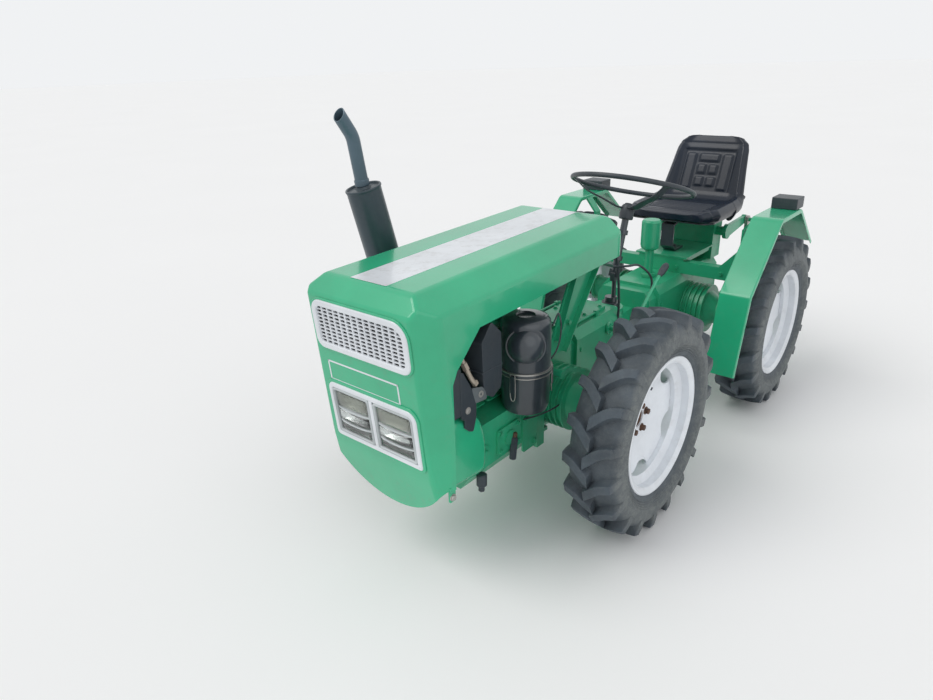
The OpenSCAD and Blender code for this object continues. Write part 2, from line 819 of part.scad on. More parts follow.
// Rear half of the steering pivot
module pivot_block() {
    low = pivot_low_z + ear_t + 0.5;
    high = pivot_high_z - ear_t - 0.5;
    color(green) placed() difference() {
        union() {
            translate([0, pivot_y, low]) cylinder(d = 2 * ear_r - 16, h = high - low);
            translate([-44, pivot_y, low + 10]) cube([88, 130 - seat_gap, high - low - 20]);
        }
        translate([0, pivot_y, low - 1]) cylinder(d = pivot_d + 2 * run_gap, h = high - low + 2);
    }
}

module hood_supports() {
    front = 95;
    rear = hood_rear - rear_facet - 12;
    x = crankcase_w / 2 + seat_gap;
    t = 4.7;
    outline = [
        [-130, 490], [-130, 520], [-80, 540], [front, under_hood(front)],
        [rear, under_hood(rear)], [rear, under_hood(rear) - 140], [-20, 490]
    ];
    color(green) placed() both_sides() {
        side_prism(x, x + t) polygon(outline);
        side_prism(x + t - eps, x + 22) strip([outline[6], outline[5]], 4);
        side_prism(x + t - eps, x + 22) strip([outline[3] - [4, 14], outline[2] + [14, -1]], 4);
        on_side(x + t - eps, 0, 0)
            bolt_heads([[-112, 506, 0], [10, 575, 0], [118, 760, 0], [rear - 16, under_hood(rear) - 110, 0]], 15);
    }
}

// Muffler outside the hood's right side, with its pipe above
muffler_x = -(hood_w / 2 + muffler_d / 2 + 4);
muffler_y = -314;
muffler_low_z = 700;
muffler_lean = [11.7, -4, 0];
pipe_bend = 26;

module muffler_frame() {
    translate([muffler_x, muffler_y, muffler_low_z]) rotate(muffler_lean) children();
}

module muffler() {
    rim = 5;
    x_low = -cylinder_w / 2 - seat_gap;
    color(soot) placed() {
        muffler_frame() {
            difference() {
                cylinder(d = muffler_d, h = muffler_l);
                translate([0, 0, muffler_l - rim]) cylinder(d = muffler_d - 2 * rim, h = rim + 1);
            }
            translate([0, 0, muffler_l - rim - eps]) cylinder(d = pipe_d + 8, h = rim);
        }
        x_bar(x_low - 6, muffler_y, muffler_low_z - 30, pipe_d + 20, 12);
        bar([x_low - 6, muffler_y, muffler_low_z - 30],
            [muffler_x, muffler_y, muffler_low_z + 22], pipe_d);
    }
}

module exhaust_pipe() {
    r = 70;
    straight = 118;
    color(soot) placed() muffler_frame() translate([0, 0, muffler_l + seat_gap + 3]) rotate([-3, 4, 0]) {
        translate([0, 0, -1]) cylinder(d = pipe_d, h = straight + 2);
        translate([0, 0, straight]) pipe_elbow(r, pipe_bend, pipe_d);
        translate([0, -r, straight]) rotate([pipe_bend, 0, 0]) translate([0, r, -1])
            cylinder(d = pipe_d, h = 62);
    }
}

cleaner_x = 165;
cleaner_y = -231;

// Air cleaner: turned canister with its clamp band, domed lid, side cap and bracket
cap_angle = -54;

module air_cleaner() {
    r = cleaner_d / 2;
    h = cleaner_h;
    color(black) placed() translate([cleaner_x, cleaner_y, cleaner_low_z]) {
        rotate_extrude() polygon([
            [0, 0], [r - 22, 0], [r - 6, 8], [r - 1.5, 24], [r - 1.5, 118], [r, 120],
            [r, h - 18], [r - 10, h - 5], [22, h - 5], [22, h], [0, h]
        ]);
        translate([0, 0, 119]) cylinder(d = cleaner_d + 5, h = 9);
        rotate([0, 0, cap_angle]) translate([r - 30, 0, 200]) rotate([0, 90, 0]) {
            cylinder(d = 98, h = 30);
            translate([0, 0, 30 - eps]) cylinder(d1 = 98, d2 = 56, h = 11);
        }
        translate([-cleaner_x + cylinder_w / 2 + seat_gap, -30, 60])
            cube([cleaner_x - cylinder_w / 2 - 40, 60, 120]);
    }
}

module air_duct() {
    rear = cleaner_y - cleaner_d / 2 - seat_gap;
    front = rear - 170;
    color(black) placed() {
        side_prism(133, 208) polygon([
            [front, 680], [front + 39, 724], [front + 78, 685], [front + 80, 574],
            [front + 75, 535], [front + 41, 518], [front + 5, 539]
        ]);
        translate([133, front + 70, 570]) cube([15, rear - front - 68, 80]);
    }
}

// Steering column below the wheel: housing, universal joint and the rod down to the gearbox
hub_drop = 92;
hub_h = 50;
stem_d = 16;

module steer_frame() {
    translate([steer_x, steer_y, steer_z]) rotate([-steer_lean, 0, 0]) children();
}

function steer_point(d) = [steer_x, steer_y - d * sin(steer_lean), steer_z - d * cos(steer_lean)];

module steering_column() {
    joint = steer_point(300);
    brace_y = hood_rear - rear_facet - 25;
    color(black) placed() {
        steer_frame() {
            translate([0, 0, -300]) cylinder(d = 24, h = 300 - hub_drop - hub_h / 2 - seat_gap);
            translate([0, 0, -200]) cylinder(d = stem_d, h = 200 - hub_drop + 10);
            for (z = [-170, -262]) translate([0, 0, z]) cylinder(d = 36, h = 16);
            translate([0, 0, -307]) cube([34, 18, 26], center = true);
        }
        bar(joint, [joint[0], joint[1], pivot_high_z + seat_gap], 16);
        translate(joint - [9, 17, 34]) cube([18, 34, 30]);
        translate([joint[0] - 10, joint[1], pivot_high_z + seat_gap]) cylinder(d = 64, h = 36);
        translate([joint[0] - 10, joint[1], pivot_high_z + 36]) cylinder(d = 44, h = 20);
        bar(joint + [0, 0, 16], [138, brace_y, 732], 10);
        translate([132, brace_y - 10, 722]) cube([13, 20, 20]);
    }
}

module steering_wheel() {
    color(black) placed() steer_frame() {
        rotate_extrude() translate([steer_d / 2, 0]) circle(d = steer_rim_t, $fn = 24);
        difference() {
            translate([0, 0, -hub_drop - hub_h / 2]) cylinder(d = 48, h = hub_h);
            translate([0, 0, -hub_drop - hub_h]) cylinder(d = stem_d + 2 * run_gap, h = hub_h + 14);
        }
        for (a = [-30, 90, 210]) rotate(a) {
            bar([18, 0, -hub_drop + 12], [110, 0, -hub_drop + 46], 20);
            bar([104, 0, -hub_drop + 43.8], [steer_d / 2, 0, 0], 13);
        }
    }
}

// Shift rods beside the gearbox cover, and the brake lever over the left axle
module control_rods() {
    rod_z = box_top_z + 14;
    lever_x = box_w / 2 + drum_l + 14;
    boss = [-engine_rear + 18, 468];
    color(green) placed() {
        for (x = [-80, 80]) {
            bar([x, 146, rod_z], [x, 322, rod_z], 9);
            for (y = [160, 300]) translate([x - 6, y - 8, box_top_z + seat_gap]) cube([12, 16, 21]);
        }
        side_prism(lever_x, lever_x + 6)
            strip([boss - [0, 10], [-91, 466], [-23, 434], [36, 405], [57, 369]], 15);
        side_prism(crankcase_w / 2 + seat_gap, lever_x + 6) translate(boss) circle(d = 26);
    }
}

module oil_hose() {
    low = cover_z + seat_gap;
    rise = 50;
    reach = 42;
    color(black) placed() {
        for (y = [200, 200 + 2 * reach]) translate([20, y, low]) {
            cylinder(d = 14, h = rise + 1);
            cylinder(d = 21, h = 12, $fn = 6);
        }
        translate([20, 200 + 2 * reach, low + rise]) pipe_elbow(reach, 180, 14);
    }
}

module gear_lever() {
    lever_x = 192;
    start = box_w / 2 + seat_gap;
    root = [335, box_top_z - 46];
    color(green) placed() {
        x_bar((start + lever_x) / 2, root[0], root[1], 20, lever_x - start);
        x_bar(start + 5, root[0], root[1], 44, 10);
        bar([lever_x - 6, root[0], root[1]], [lever_x + 6, 520, 600], 12);
    }
    color(black) placed() bar([lever_x + 6, 520, 600], [lever_x + 9, 572, 632], 26);
}

// Rear half

rear_front_y = pivot_y + 130;
rear_back_y = wheelbase + 270;
rear_top_z = 482;
lift_z = 600;
link_z = 300;
rod_x = 152;
dir_out = [cos(arm_rise), sin(arm_rise)];
beam_x = track / 2 - tyre_w / 2 - 16;

module rear_housing() {
    joint_y = rear_front_y + 60;
    color(green) placed() difference() {
        union() {
            translate([0, rear_back_y, 0]) rotate([90, 0, 0])
                linear_extrude(rear_back_y - rear_front_y) box_section(box_low_z, rear_top_z);
            translate([0, joint_y + 16, 0]) rotate([90, 0, 0]) linear_extrude(16)
                box_section(box_low_z, rear_top_z, 12);
            both_sides() for (z = [box_low_z + 50, box_low_z + 130, box_low_z + 210])
                on_side(box_w / 2 - eps, joint_y + 36, z) bolt_heads([[0, 0, 0]], 15);
            translate([-box_w / 2 + 5, lift_y - 45, rear_top_z - eps])
                cube([box_w - 10, 90, lift_z + 35 - rear_top_z]);
            translate([0, lift_y, lift_z + 35 - eps])
                bolt_heads([for (x = [-70, 70], y = [-30, 30]) [x, y, 0]], 15);
            translate([0, rear_back_y - eps, 400]) rotate([-90, 0, 0]) {
                cylinder(d = pto_d * 2.6, h = 14);
                cylinder(d = pto_d, h = 80);
            }
            x_bar(0, lift_y, link_z, 24, 2 * rod_x + 40);
        }
        x_bar(0, lift_y, lift_z, shaft_d + 2 * run_gap, 400);
    }
}

module lift_arms() {
    end = [lift_y, lift_z] + lift_arm_l * dir_out;
    color(green) placed() {
        x_bar(0, lift_y, lift_z, shaft_d, 2 * rod_x);
        both_sides() {
            link([lift_y, lift_z], end, 32, 20, rod_x - 16, rod_x);
            x_bar(rod_x + 12, end[0], end[1], 18, 32);
        }
    }
}

module lower_links() {
    a = [lift_y, link_z];
    color(green) placed() both_sides() {
        link(a, a + link_l * dir_out, eye_r, eye_r, rod_x - 16, rod_x, 24 + 2 * run_gap, 19);
        x_bar(rod_x + 12, (a + lift_arm_l * dir_out)[0], (a + lift_arm_l * dir_out)[1], 18, 32);
    }
}

module lift_rods() {
    a = [lift_y, link_z] + lift_arm_l * dir_out;
    b = [lift_y, lift_z] + lift_arm_l * dir_out;
    color(steel) placed() both_sides()
        link(a, b, 18, 18, rod_x + 2, rod_x + 16, 18 + 2 * run_gap, 18 + 2 * run_gap);
}

// Beam across the rear housing, its arms up to the fenders and the platform under the seat
module seat_frame() {
    low = rear_top_z + seat_gap;
    front = wheelbase - 70;
    platform_l = lift_y - 45 - 6 - front;
    color(green) placed() {
        translate([-beam_x, front, low]) cube([2 * beam_x, 40, 50]);
        both_sides() translate([0, front + 40, 0]) rotate([90, 0, 0]) linear_extrude(40)
            strip([[beam_x - 8, low], [beam_x - 8, 690], [fender_in + 5, fender_top_z - seat_gap],
                [fender_in + 60, fender_top_z - seat_gap]], -8);
        both_sides() translate([0, front + 8, 0]) rotate([90, 0, 0]) linear_extrude(8)
            polygon([[beam_x - 80, low + 50 - eps], [beam_x - 8, low + 50 - eps], [beam_x - 8, low + 130]]);
        translate([-98, front, low + 40]) cube([196, platform_l, platform_z - low - 46]);
        translate([-112, front - 4, platform_z - 6]) cube([224, platform_l + 4, 6]);
        both_sides() translate([0, front, low + 25]) rotate([90, 0, 0])
            bolt_heads([[beam_x - 24, 0, 0], [beam_x - 70, 0, 0], [70, 0, 0]], 15);
    }
}

bracket_top_z = 680;
pan_z = bracket_top_z + seat_gap;
pan_t = 6;

module seat_bracket() {
    low = platform_z + seat_gap;
    y = wheelbase;
    line = [
        [y + 80, low + 8], [y + 10, low + 8], [y - 20, low + 30], [y - 20, 660],
        [y + 30, bracket_top_z - 8], [y + 120, bracket_top_z - 8]
    ];
    color(black) placed() {
        side_prism(-27, 27) strip(line, 8);
        translate([0, y + 48, low + 8]) bolt_heads([[0, 0, 0]], 17);
    }
}

module seat_pan() {
    l = 320;
    color(black) placed() translate([0, wheelbase - 40 + l / 2, pan_z])
        linear_extrude(pan_t) round_rect(seat_w - 40, l, 50);
}

module seat() {
    low = pan_z + pan_t + seat_gap;
    cushion_l = 340;
    w = seat_w / 2;
    color(black) placed() {
        translate([0, wheelbase - 55 + cushion_l / 2, low]) linear_extrude(seat_z - low) {
            round_rect(seat_w, cushion_l, 58);
            translate([-w, 0]) square([seat_w, cushion_l / 2]);
        }
        translate([0, wheelbase + 325, 690]) rotate([90 - 18, 0, 0]) linear_extrude(50) {
            polygon([
                [-w + 10, 0], [w - 10, 0], [w - 30, 160], [w - 48, 262], [-w + 48, 262], [-w + 30, 160]
            ]);
            translate([0, 252]) round_rect(seat_w - 98, 86, 42);
        }
    }
}

// Line of the fender seen from its side, from its front edge over the wheel
function fender_line() = [
    [wheelbase - 435, 255],
    [wheelbase - 360, 530],
    [wheelbase - 120, fender_top_z],
    [wheelbase + 110, fender_top_z],
    [wheelbase + 320, 590]
];

module fender() {
    x0 = fender_in;
    x1 = fender_in + fender_w;
    side_prism(x0, x1) strip(fender_line(), fender_t);
    // Lip turned down along the outer edge
    side_prism(x1 - fender_t, x1) strip(fender_line(), -12);
}

module fender_left() {
    color(green) placed() fender();
}

module fender_right() {
    color(green) placed() mirror([1, 0, 0]) fender();
}

module tail_lamps() {
    color(black) placed() both_sides()
        translate([fender_in + 55, wheelbase + 105, fender_top_z + fender_t + seat_gap])
            linear_extrude(42) round_rect(94, 90, 8);
}

module oil_filter() {
    color(green) placed() translate([0, wheelbase - 180, rear_top_z + seat_gap]) {
        cylinder(d = 62, h = 16, $fn = 6);
        cylinder(d = 34, h = 130);
        rotate_extrude() polygon([
            [0, 112], [24, 112], [35, 120], [38, 132], [38, 224], [32, 232], [0, 232]
        ]);
    }
}

module drawbar() {
    color(green) placed() difference() {
        translate([-40, rear_back_y + seat_gap, 250]) cube([80, 110, 20]);
        translate([0, rear_back_y + 80, 240]) cylinder(d = hitch_d, h = 40);
    }
}

engine_block();
fan_cowl();
belt_guard();
gearbox();
front_axle();
hood();
nose_shell();
side_panels();
grille();
lamp_frame();
headlamps();
muffler();
exhaust_pipe();
air_cleaner();
air_duct();
hood_supports();
steering_column();
control_rods();
oil_hose();
gear_lever();
steering_wheel();
pivot_block();
rear_housing();
rear_axle();
seat_frame();
seat_bracket();
seat_pan();
seat();
fender_left();
fender_right();
tail_lamps();
oil_filter();
drawbar();
lift_arms();
lower_links();
lift_rods();
wheel_front_left();
wheel_front_right();
wheel_rear_left();
wheel_rear_right();
tyre_front_left();
tyre_front_right();
tyre_rear_left();
tyre_rear_right();
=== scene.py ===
"""Looks of a small articulated tractor, built round its construction model.

Shapes are worked out in millimetres from the front axle line and the floor: +x is the tractor's
left, +y its rear and +z up. publish() turns them into metres in the frame of the construction.
"""

import json
import math

import bmesh
import bpy
import numpy as np
from mathutils import Matrix, Vector


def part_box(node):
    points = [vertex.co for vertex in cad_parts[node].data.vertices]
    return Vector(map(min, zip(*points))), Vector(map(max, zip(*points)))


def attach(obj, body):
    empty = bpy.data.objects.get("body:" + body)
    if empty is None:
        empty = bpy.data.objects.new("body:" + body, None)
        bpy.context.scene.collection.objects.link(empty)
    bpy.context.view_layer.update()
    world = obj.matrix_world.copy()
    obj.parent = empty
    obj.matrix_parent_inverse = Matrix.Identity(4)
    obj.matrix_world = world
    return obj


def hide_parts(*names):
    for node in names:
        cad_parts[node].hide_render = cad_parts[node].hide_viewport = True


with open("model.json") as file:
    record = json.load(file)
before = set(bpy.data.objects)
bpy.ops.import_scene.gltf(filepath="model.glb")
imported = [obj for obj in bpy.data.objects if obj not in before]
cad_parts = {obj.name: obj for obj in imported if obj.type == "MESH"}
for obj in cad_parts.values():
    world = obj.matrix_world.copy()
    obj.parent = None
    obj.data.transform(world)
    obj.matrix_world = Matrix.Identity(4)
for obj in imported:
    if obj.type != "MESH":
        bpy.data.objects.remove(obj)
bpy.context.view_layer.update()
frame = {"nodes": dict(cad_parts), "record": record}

bl_info = {
    "name": "Small articulated tractor",
    "version": (1, 0, 0),
    "blender": (4, 5, 0),
    "location": "View3D > Sidebar > Tractor",
    "description": "Builds the tractor's painted metal, tyres, seat, lamps and studio",
    "category": "Object",
}

MM = 0.001


def axle_line(wheel):
    """Place of an axle along the tractor in metres: the middle of one of its wheels"""
    return sum((corner.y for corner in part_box(wheel)), 0.0) / 2


AXLE_Y = axle_line("wheel_front_left")
WHEELBASE = (axle_line("wheel_rear_left") - AXLE_Y) / MM
ORIGIN = np.array([0.0, AXLE_Y, 0.0])


def in_metres(points):
    """Tractor millimetres turned into metres in the frame of the construction"""
    return points * MM + ORIGIN


def in_millimetres(points):
    """Metres in the frame of the construction turned into tractor millimetres"""
    return (np.array(points) - ORIGIN) / MM


def extent(node):
    """Lowest and highest corner of a construction node, in tractor millimetres"""
    lo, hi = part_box(node)
    return in_millimetres(lo), in_millimetres(hi)


TYRE_LO, TYRE_HI = extent("tyre_front_left")
TYRE_D = TYRE_HI[2] - TYRE_LO[2]
TYRE_W = TYRE_HI[0] - TYRE_LO[0]
WHEEL_X = (TYRE_HI[0] + TYRE_LO[0]) / 2
AXLE_Z = (TYRE_HI[2] + TYRE_LO[2]) / 2
HOOD_LO, HOOD_HI = extent("hood")
GRILLE_LO, GRILLE_HI = extent("grille")
LAMP_LO, LAMP_HI = extent("lamp_frame")


# Sizes and colours that a user would change


def length(name, description, default):
    """A size for the panel"""
    return bpy.props.FloatProperty(
        name=name, description=f"{description}, in millimetres", default=default, min=0.0)


def number(name, description, default, low, high):
    """A number of like parts for the panel"""
    return bpy.props.IntProperty(
        name=name, description=description, default=default, min=low, max=high)


def colour(name, description, red, green, blue):
    """A linear colour for the panel"""
    return bpy.props.FloatVectorProperty(
        name=name, description=description, default=(red, green, blue), size=3,
        subtype="COLOR", min=0.0, max=1.0,
    )


class TractorSizes(bpy.types.PropertyGroup):
    """Sizes of what is modelled here, in millimetres"""

    lug_count: number("Lugs", "Lugs on each side of a tyre", 19, 8, 40)
    lug_width: length("Lug width", "Width of a lug along its top", 27.0)
    lug_height: length("Lug height", "Height of a lug above the carcass", 24.0)
    notch_count: number("Notches", "Notches round a wheel disc", 5, 3, 8)
    bolt_count: number("Wheel bolts", "Bolts that hold a wheel", 5, 3, 8)
    hood_fold: length("Hood fold", "Width of the folds in hood and nose", 17.0)
    sheet: length("Sheet metal", "Thickness of the sheet metal", 3.0)
    stripe: length("Stripe width", "Width of the white stripe along the hood", 124.0)
    lattice_columns: number("Lattice columns", "Holes across the grille", 14, 4, 30)
    lattice_rows: number("Lattice rows", "Holes down the grille", 10, 4, 30)
    steering_rim: length("Steering rim", "Thickness of the steering wheel's rim", 17.0)


class TractorColours(bpy.types.PropertyGroup):
    """Colours of the finishes"""

    green: colour("Green enamel", "Paint of body and castings", 0.022, 0.435, 0.218)
    white: colour("White enamel", "Paint of wheels, stripe and grille", 0.74, 0.77, 0.81)
    black: colour("Black paint", "Paint of air cleaner and brackets", 0.030, 0.040, 0.050)
    muffler: colour("Muffler paint", "Heat-proof paint of the exhaust", 0.036, 0.058, 0.074)
    rubber: colour("Rubber", "Tyres", 0.048, 0.064, 0.082)
    dust: colour("Dust", "Dry dust on tyres and castings", 0.30, 0.29, 0.26)
    vinyl: colour("Vinyl", "Seat", 0.004, 0.010, 0.022)
    steel: colour("Steel", "Bolts and pins", 0.42, 0.41, 0.39)
    rust: colour("Rust", "Wheel bolts", 0.075, 0.040, 0.026)
    floor: colour("Floor", "Studio floor", 0.93, 0.93, 0.93)


def sizes():
    """The user's sizes"""
    return bpy.context.scene.tractor_sizes


def colours():
    """The user's colours"""
    return bpy.context.scene.tractor_colours


# Shapes: points, faces and a material number for each face


class Shape:
    """Points in tractor millimetres, faces as lists of point numbers, and each face's material"""

    def __init__(self, points=(), faces=(), material=0):
        self.points = np.asarray(points, float).reshape(-1, 3)
        self.faces = [list(map(int, face)) for face in faces]
        self.materials = [material] * len(self.faces)

    def __add__(self, other):
        out = Shape()
        out.points = np.vstack([self.points, other.points])
        offset = len(self.points)
        out.faces = self.faces + [[i + offset for i in face] for face in other.faces]
        out.materials = self.materials + other.materials
        return out

    def moved(self, offset=(0, 0, 0), turn=None):
        """The shape turned by a 3 by 3 matrix and then moved"""
        out = Shape()
        points = self.points if turn is None else self.points @ np.asarray(turn, float).T
        out.points = points + np.asarray(offset, float)
        out.faces = self.faces
        out.materials = self.materials
        return out

    def scaled(self, factors):
        """The shape stretched along x, y and z; publish() sets its faces outwards again"""
        out = self.moved()
        out.points = out.points * np.asarray(factors, float)
        return out

    def painted(self, material):
        """The shape with one material number on all its faces"""
        out = self.moved()
        out.materials = [material] * len(self.faces)
        return out


def total(shapes):
    """All the shapes as one"""
    out = Shape()
    for shape in shapes:
        out += shape
    return out


# Turns that stand a prism up: STANDING puts its outline in x and z and its depth towards -y,
# SIDEWAYS its outline in y and z and its depth towards +x
STANDING = ((1, 0, 0), (0, 0, -1), (0, 1, 0))
SIDEWAYS = ((0, 0, 1), (1, 0, 0), (0, 1, 0))


def turn_about(axis, degrees):
    """Rotation matrix about x, y or z"""
    return np.array(Matrix.Rotation(math.radians(degrees), 3, axis.upper()))


def unit(vector):
    """The vector at length 1"""
    vector = np.asarray(vector, float)
    return vector / np.linalg.norm(vector)


def basis(direction):
    """Matrix whose columns are side, up and direction: local z runs along the direction"""
    forward = unit(direction)
    side = np.cross((0, 0, 1), forward)
    if np.linalg.norm(side) < 1e-6:
        side = np.cross((0, 1, 0), forward)
    side = unit(side)
    return np.stack([side, np.cross(forward, side), forward], 1)


def grid(points, wrap_u=False, wrap_v=False, cap_ends=False, material=0):
    """Quads over points[u, v]; wrapping joins the last row or column to the first, and
    cap_ends closes the first and last rings of u with one face each."""
    nu, nv = points.shape[:2]
    u, v = np.meshgrid(
        np.arange(nu if wrap_u else nu - 1), np.arange(nv if wrap_v else nv - 1), indexing="ij")
    u1, v1 = (u + 1) % nu, (v + 1) % nv
    faces = np.stack([u * nv + v, u1 * nv + v, u1 * nv + v1, u * nv + v1], -1).reshape(-1, 4)
    faces = faces.tolist()
    if cap_ends:
        faces += [list(range(nv)), list(range((nu - 1) * nv, nu * nv))]
    return Shape(points, faces, material)


def revolve(profile, steps=48, closed=False):
    """Profile of (radius, z) turned about z: (r cos a, r sin a, z). A closed profile makes a ring;
    an open one that starts and ends at radius 0 is closed by its poles."""
    profile = np.asarray(profile, float)
    angle = np.linspace(0, 2 * math.pi, steps, endpoint=False)
    points = np.empty((steps, len(profile), 3))
    points[..., 0] = profile[None, :, 0] * np.cos(angle)[:, None]
    points[..., 1] = profile[None, :, 0] * np.sin(angle)[:, None]
    points[..., 2] = profile[None, :, 1]
    return grid(points, wrap_u=True, wrap_v=closed)


def rounded(corners, radius, steps=4, closed=True):
    """Corners of a line in a plane with each bend turned into an arc of the given radius.
    The arc starts radius * tan(half the bend) before its corner."""
    corners = np.asarray(corners, float)
    count = len(corners)
    radii = np.broadcast_to(np.asarray(radius, float), (count,))
    out = []
    for i in range(count):
        if not closed and i in (0, count - 1) or radii[i] <= 0:
            out.append(corners[i][None])
            continue
        here = corners[i]
        before = unit(corners[i - 1] - here)
        after = unit(corners[(i + 1) % count] - here)
        bend = math.pi - math.acos(float(np.clip(before @ after, -1, 1)))
        if bend < 1e-3:
            out.append(here[None])
            continue
        middle = here + unit(before + after) * radii[i] / math.cos(bend / 2)
        start = here + before * radii[i] * math.tan(bend / 2) - middle
        end = here + after * radii[i] * math.tan(bend / 2) - middle
        share = np.linspace(0, 1, steps + 1)[:, None]
        weights = np.sin((1 - share) * bend), np.sin(share * bend)
        out.append(middle + (start * weights[0] + end * weights[1]) / math.sin(bend))
    return np.vstack(out)


def prism(outline, low, high, material=0):
    """Closed outline in x and y, drawn out along z from low to high"""
    outline = np.asarray(outline, float)
    level = np.ones((len(outline), 1))
    rings = np.stack([np.hstack([outline, level * low]), np.hstack([outline, level * high])])
    return grid(rings, wrap_v=True, cap_ends=True, material=material)


def side_prism(outline, x0, x1):
    """Closed outline in y and z, drawn out along x"""
    return prism(outline, x0, x1).moved(turn=SIDEWAYS)


def block(low, high, material=0):
    """Box between two corners"""
    low, high = np.asarray(low, float), np.asarray(high, float)
    outline = [(low[0], low[1]), (high[0], low[1]), (high[0], high[1]), (low[0], high[1])]
    return prism(outline, low[2], high[2], material)


def rectangle(width, height, radius=0.0, steps=4):
    """Outline of a centred rectangle with round corners: one radius, or four from the lower left
    corner round to the upper left one"""
    w, h = width / 2, height / 2
    corners = [(-w, -h), (w, -h), (w, h), (-w, h)]
    if np.any(np.asarray(radius) > 0):
        return rounded(corners, radius, steps)
    return np.array(corners, float)


def circle(radius, steps=16):
    """Outline of a circle round the origin"""
    angle = np.arange(steps) * 2 * math.pi / steps
    return np.stack([np.cos(angle), np.sin(angle)], 1) * radius


def smooth_path(points, steps=8):
    """Curve through all the points: each stretch is the cubic whose end slopes are half the
    step between the neighbours (Catmull-Rom)."""
    p = np.asarray(points, float)
    p = np.vstack([2 * p[0] - p[1], p, 2 * p[-1] - p[-2]])
    t = np.linspace(0, 1, steps, endpoint=False)[None, :, None]
    a, b, c, d = (p[i:len(p) - 3 + i][:, None] for i in range(4))
    curve = 0.5 * (2 * b + (c - a) * t + (2 * a - 5 * b + 4 * c - d) * t ** 2
                   + (3 * b - a - 3 * c + d) * t ** 3)
    return np.vstack([curve.reshape(-1, 3), p[-2]])


def along(path, section, closed=False, scale=None, up=(0, 0, 1), material=0):
    """A closed section carried along a path. Its axes are side = up x tangent and
    lift = tangent x side, so a point is path + section_x * side + section_y * lift."""
    path, section = np.asarray(path, float), np.asarray(section, float)
    if closed:
        tangent = np.roll(path, -1, 0) - np.roll(path, 1, 0)
    else:
        tangent = np.gradient(path, axis=0)
    tangent /= np.linalg.norm(tangent, axis=1)[:, None]
    side = np.cross(np.broadcast_to(np.asarray(up, float), tangent.shape), tangent)
    weak = np.linalg.norm(side, axis=1) < 0.05
    side[weak] = np.cross(np.array([1.0, 0.0, 0.0]), tangent[weak])
    side /= np.linalg.norm(side, axis=1)[:, None]
    for i in range(1, len(side)):
        if side[i] @ side[i - 1] < 0:
            side[i] = -side[i]
    lift = np.cross(tangent, side)
    factor = np.ones(len(path)) if scale is None else np.asarray(scale, float)
    points = (path[:, None] + factor[:, None, None] * (
        section[None, :, :1] * side[:, None] + section[None, :, 1:] * lift[:, None]))
    return grid(points, wrap_u=closed, wrap_v=True, cap_ends=not closed, material=material)


def pipe(points, diameter, steps=8, sides=12, material=0):
    """Round pipe or rod along a smooth curve through points"""
    return along(smooth_path(points, steps), circle(diameter / 2, sides), material=material)


def rod(start, end, diameter, sides=16, material=0, cham=0.0):
    """Straight round bar, with its ends chamfered if cham is above 0"""
    start, end = np.asarray(start, float), np.asarray(end, float)
    span = np.linalg.norm(end - start)
    r = diameter / 2
    profile = [(0, 0), (r - cham, 0), (r, cham), (r, span - cham), (r - cham, span), (0, span)]
    if cham <= 0:
        profile = [(0, 0), (r, 0), (r, span), (0, span)]
    return revolve(profile, sides).moved(start, basis(end - start)).painted(material)


def bolt(place, direction, across=13.0, height=8.0, material=0):
    """Hexagon head with a chamfered top on a washer, standing on a face at place"""
    radius = across / math.sqrt(3)
    angle = np.arange(6) * math.pi / 3
    ring = np.stack([np.cos(angle), np.sin(angle)], 1)
    rings = [np.hstack([ring * radius, np.full((6, 1), -1.0)]),
             np.hstack([ring * radius, np.full((6, 1), height * 0.8)]),
             np.hstack([ring * radius * 0.86, np.full((6, 1), height)])]
    head = grid(np.stack(rings), wrap_v=True, cap_ends=True)
    washer = revolve([(0, -1), (radius * 1.25, -1), (radius * 1.25, 1.6), (0, 1.6)], 16)
    return (head + washer).moved(place, basis(direction)).painted(material)


# Turning shapes into finished pieces


def mesh_object(name, mesh):
    """An object at the origin that holds the mesh"""
    piece = bpy.data.objects.new(name, mesh)
    bpy.context.scene.collection.objects.link(piece)
    return piece


def read(items, key, width=3, kind=float):
    """A property of all of a mesh's points or edges, as rows of an array"""
    values = np.empty(len(items) * width, kind)
    items.foreach_get(key, values)
    return values.reshape(-1, width)


def store(mesh, name, values, domain="POINT"):
    """Stores a number for each point or edge as an attribute"""
    made = mesh.attributes.get(name) or mesh.attributes.new(name, "FLOAT", domain)
    made.data.foreach_set("value", values.astype(np.float32))


def set_outwards(mesh, merge=1e-6):
    """Merges doubles and points the faces of each closed shell outwards"""
    work = bmesh.new()
    work.from_mesh(mesh)
    bmesh.ops.remove_doubles(work, verts=work.verts, dist=merge)
    flat = [f for f in work.faces if f.calc_area() < 1e-12]
    if flat:
        bmesh.ops.delete(work, geom=flat, context="FACES_ONLY")
    bmesh.ops.recalc_face_normals(work, faces=work.faces)
    work.to_mesh(mesh)
    work.free()


def apply_modifiers(piece):
    """Puts what the modifiers make into the piece's own mesh"""
    bpy.context.view_layer.update()
    graph = bpy.context.evaluated_depsgraph_get()
    made = bpy.data.meshes.new_from_object(
        piece.evaluated_get(graph), preserve_all_data_layers=True, depsgraph=graph)
    piece.modifiers.clear()
    piece.data = made


def bevel(piece, width, steps=2, angle=28):
    """Rounds the edges where two faces meet at more than the angle"""
    if width > 0:
        made = piece.modifiers.new("Edges", "BEVEL")
        made.width = width * MM
        made.segments = steps
        made.limit_method = "ANGLE"
        made.angle_limit = math.radians(angle)
        made.use_clamp_overlap = True
        made.miter_outer = "MITER_ARC"


def shade(piece, angle=32):
    """Smooth shading that breaks at sharp edges, led by the larger faces"""
    mesh = piece.data
    mesh.shade_smooth()
    mesh.set_sharp_from_angle(angle=math.radians(angle))
    even = piece.modifiers.new("Normals", "WEIGHTED_NORMAL")
    even.keep_sharp = True
    even.weight = 60
    apply_modifiers(piece)


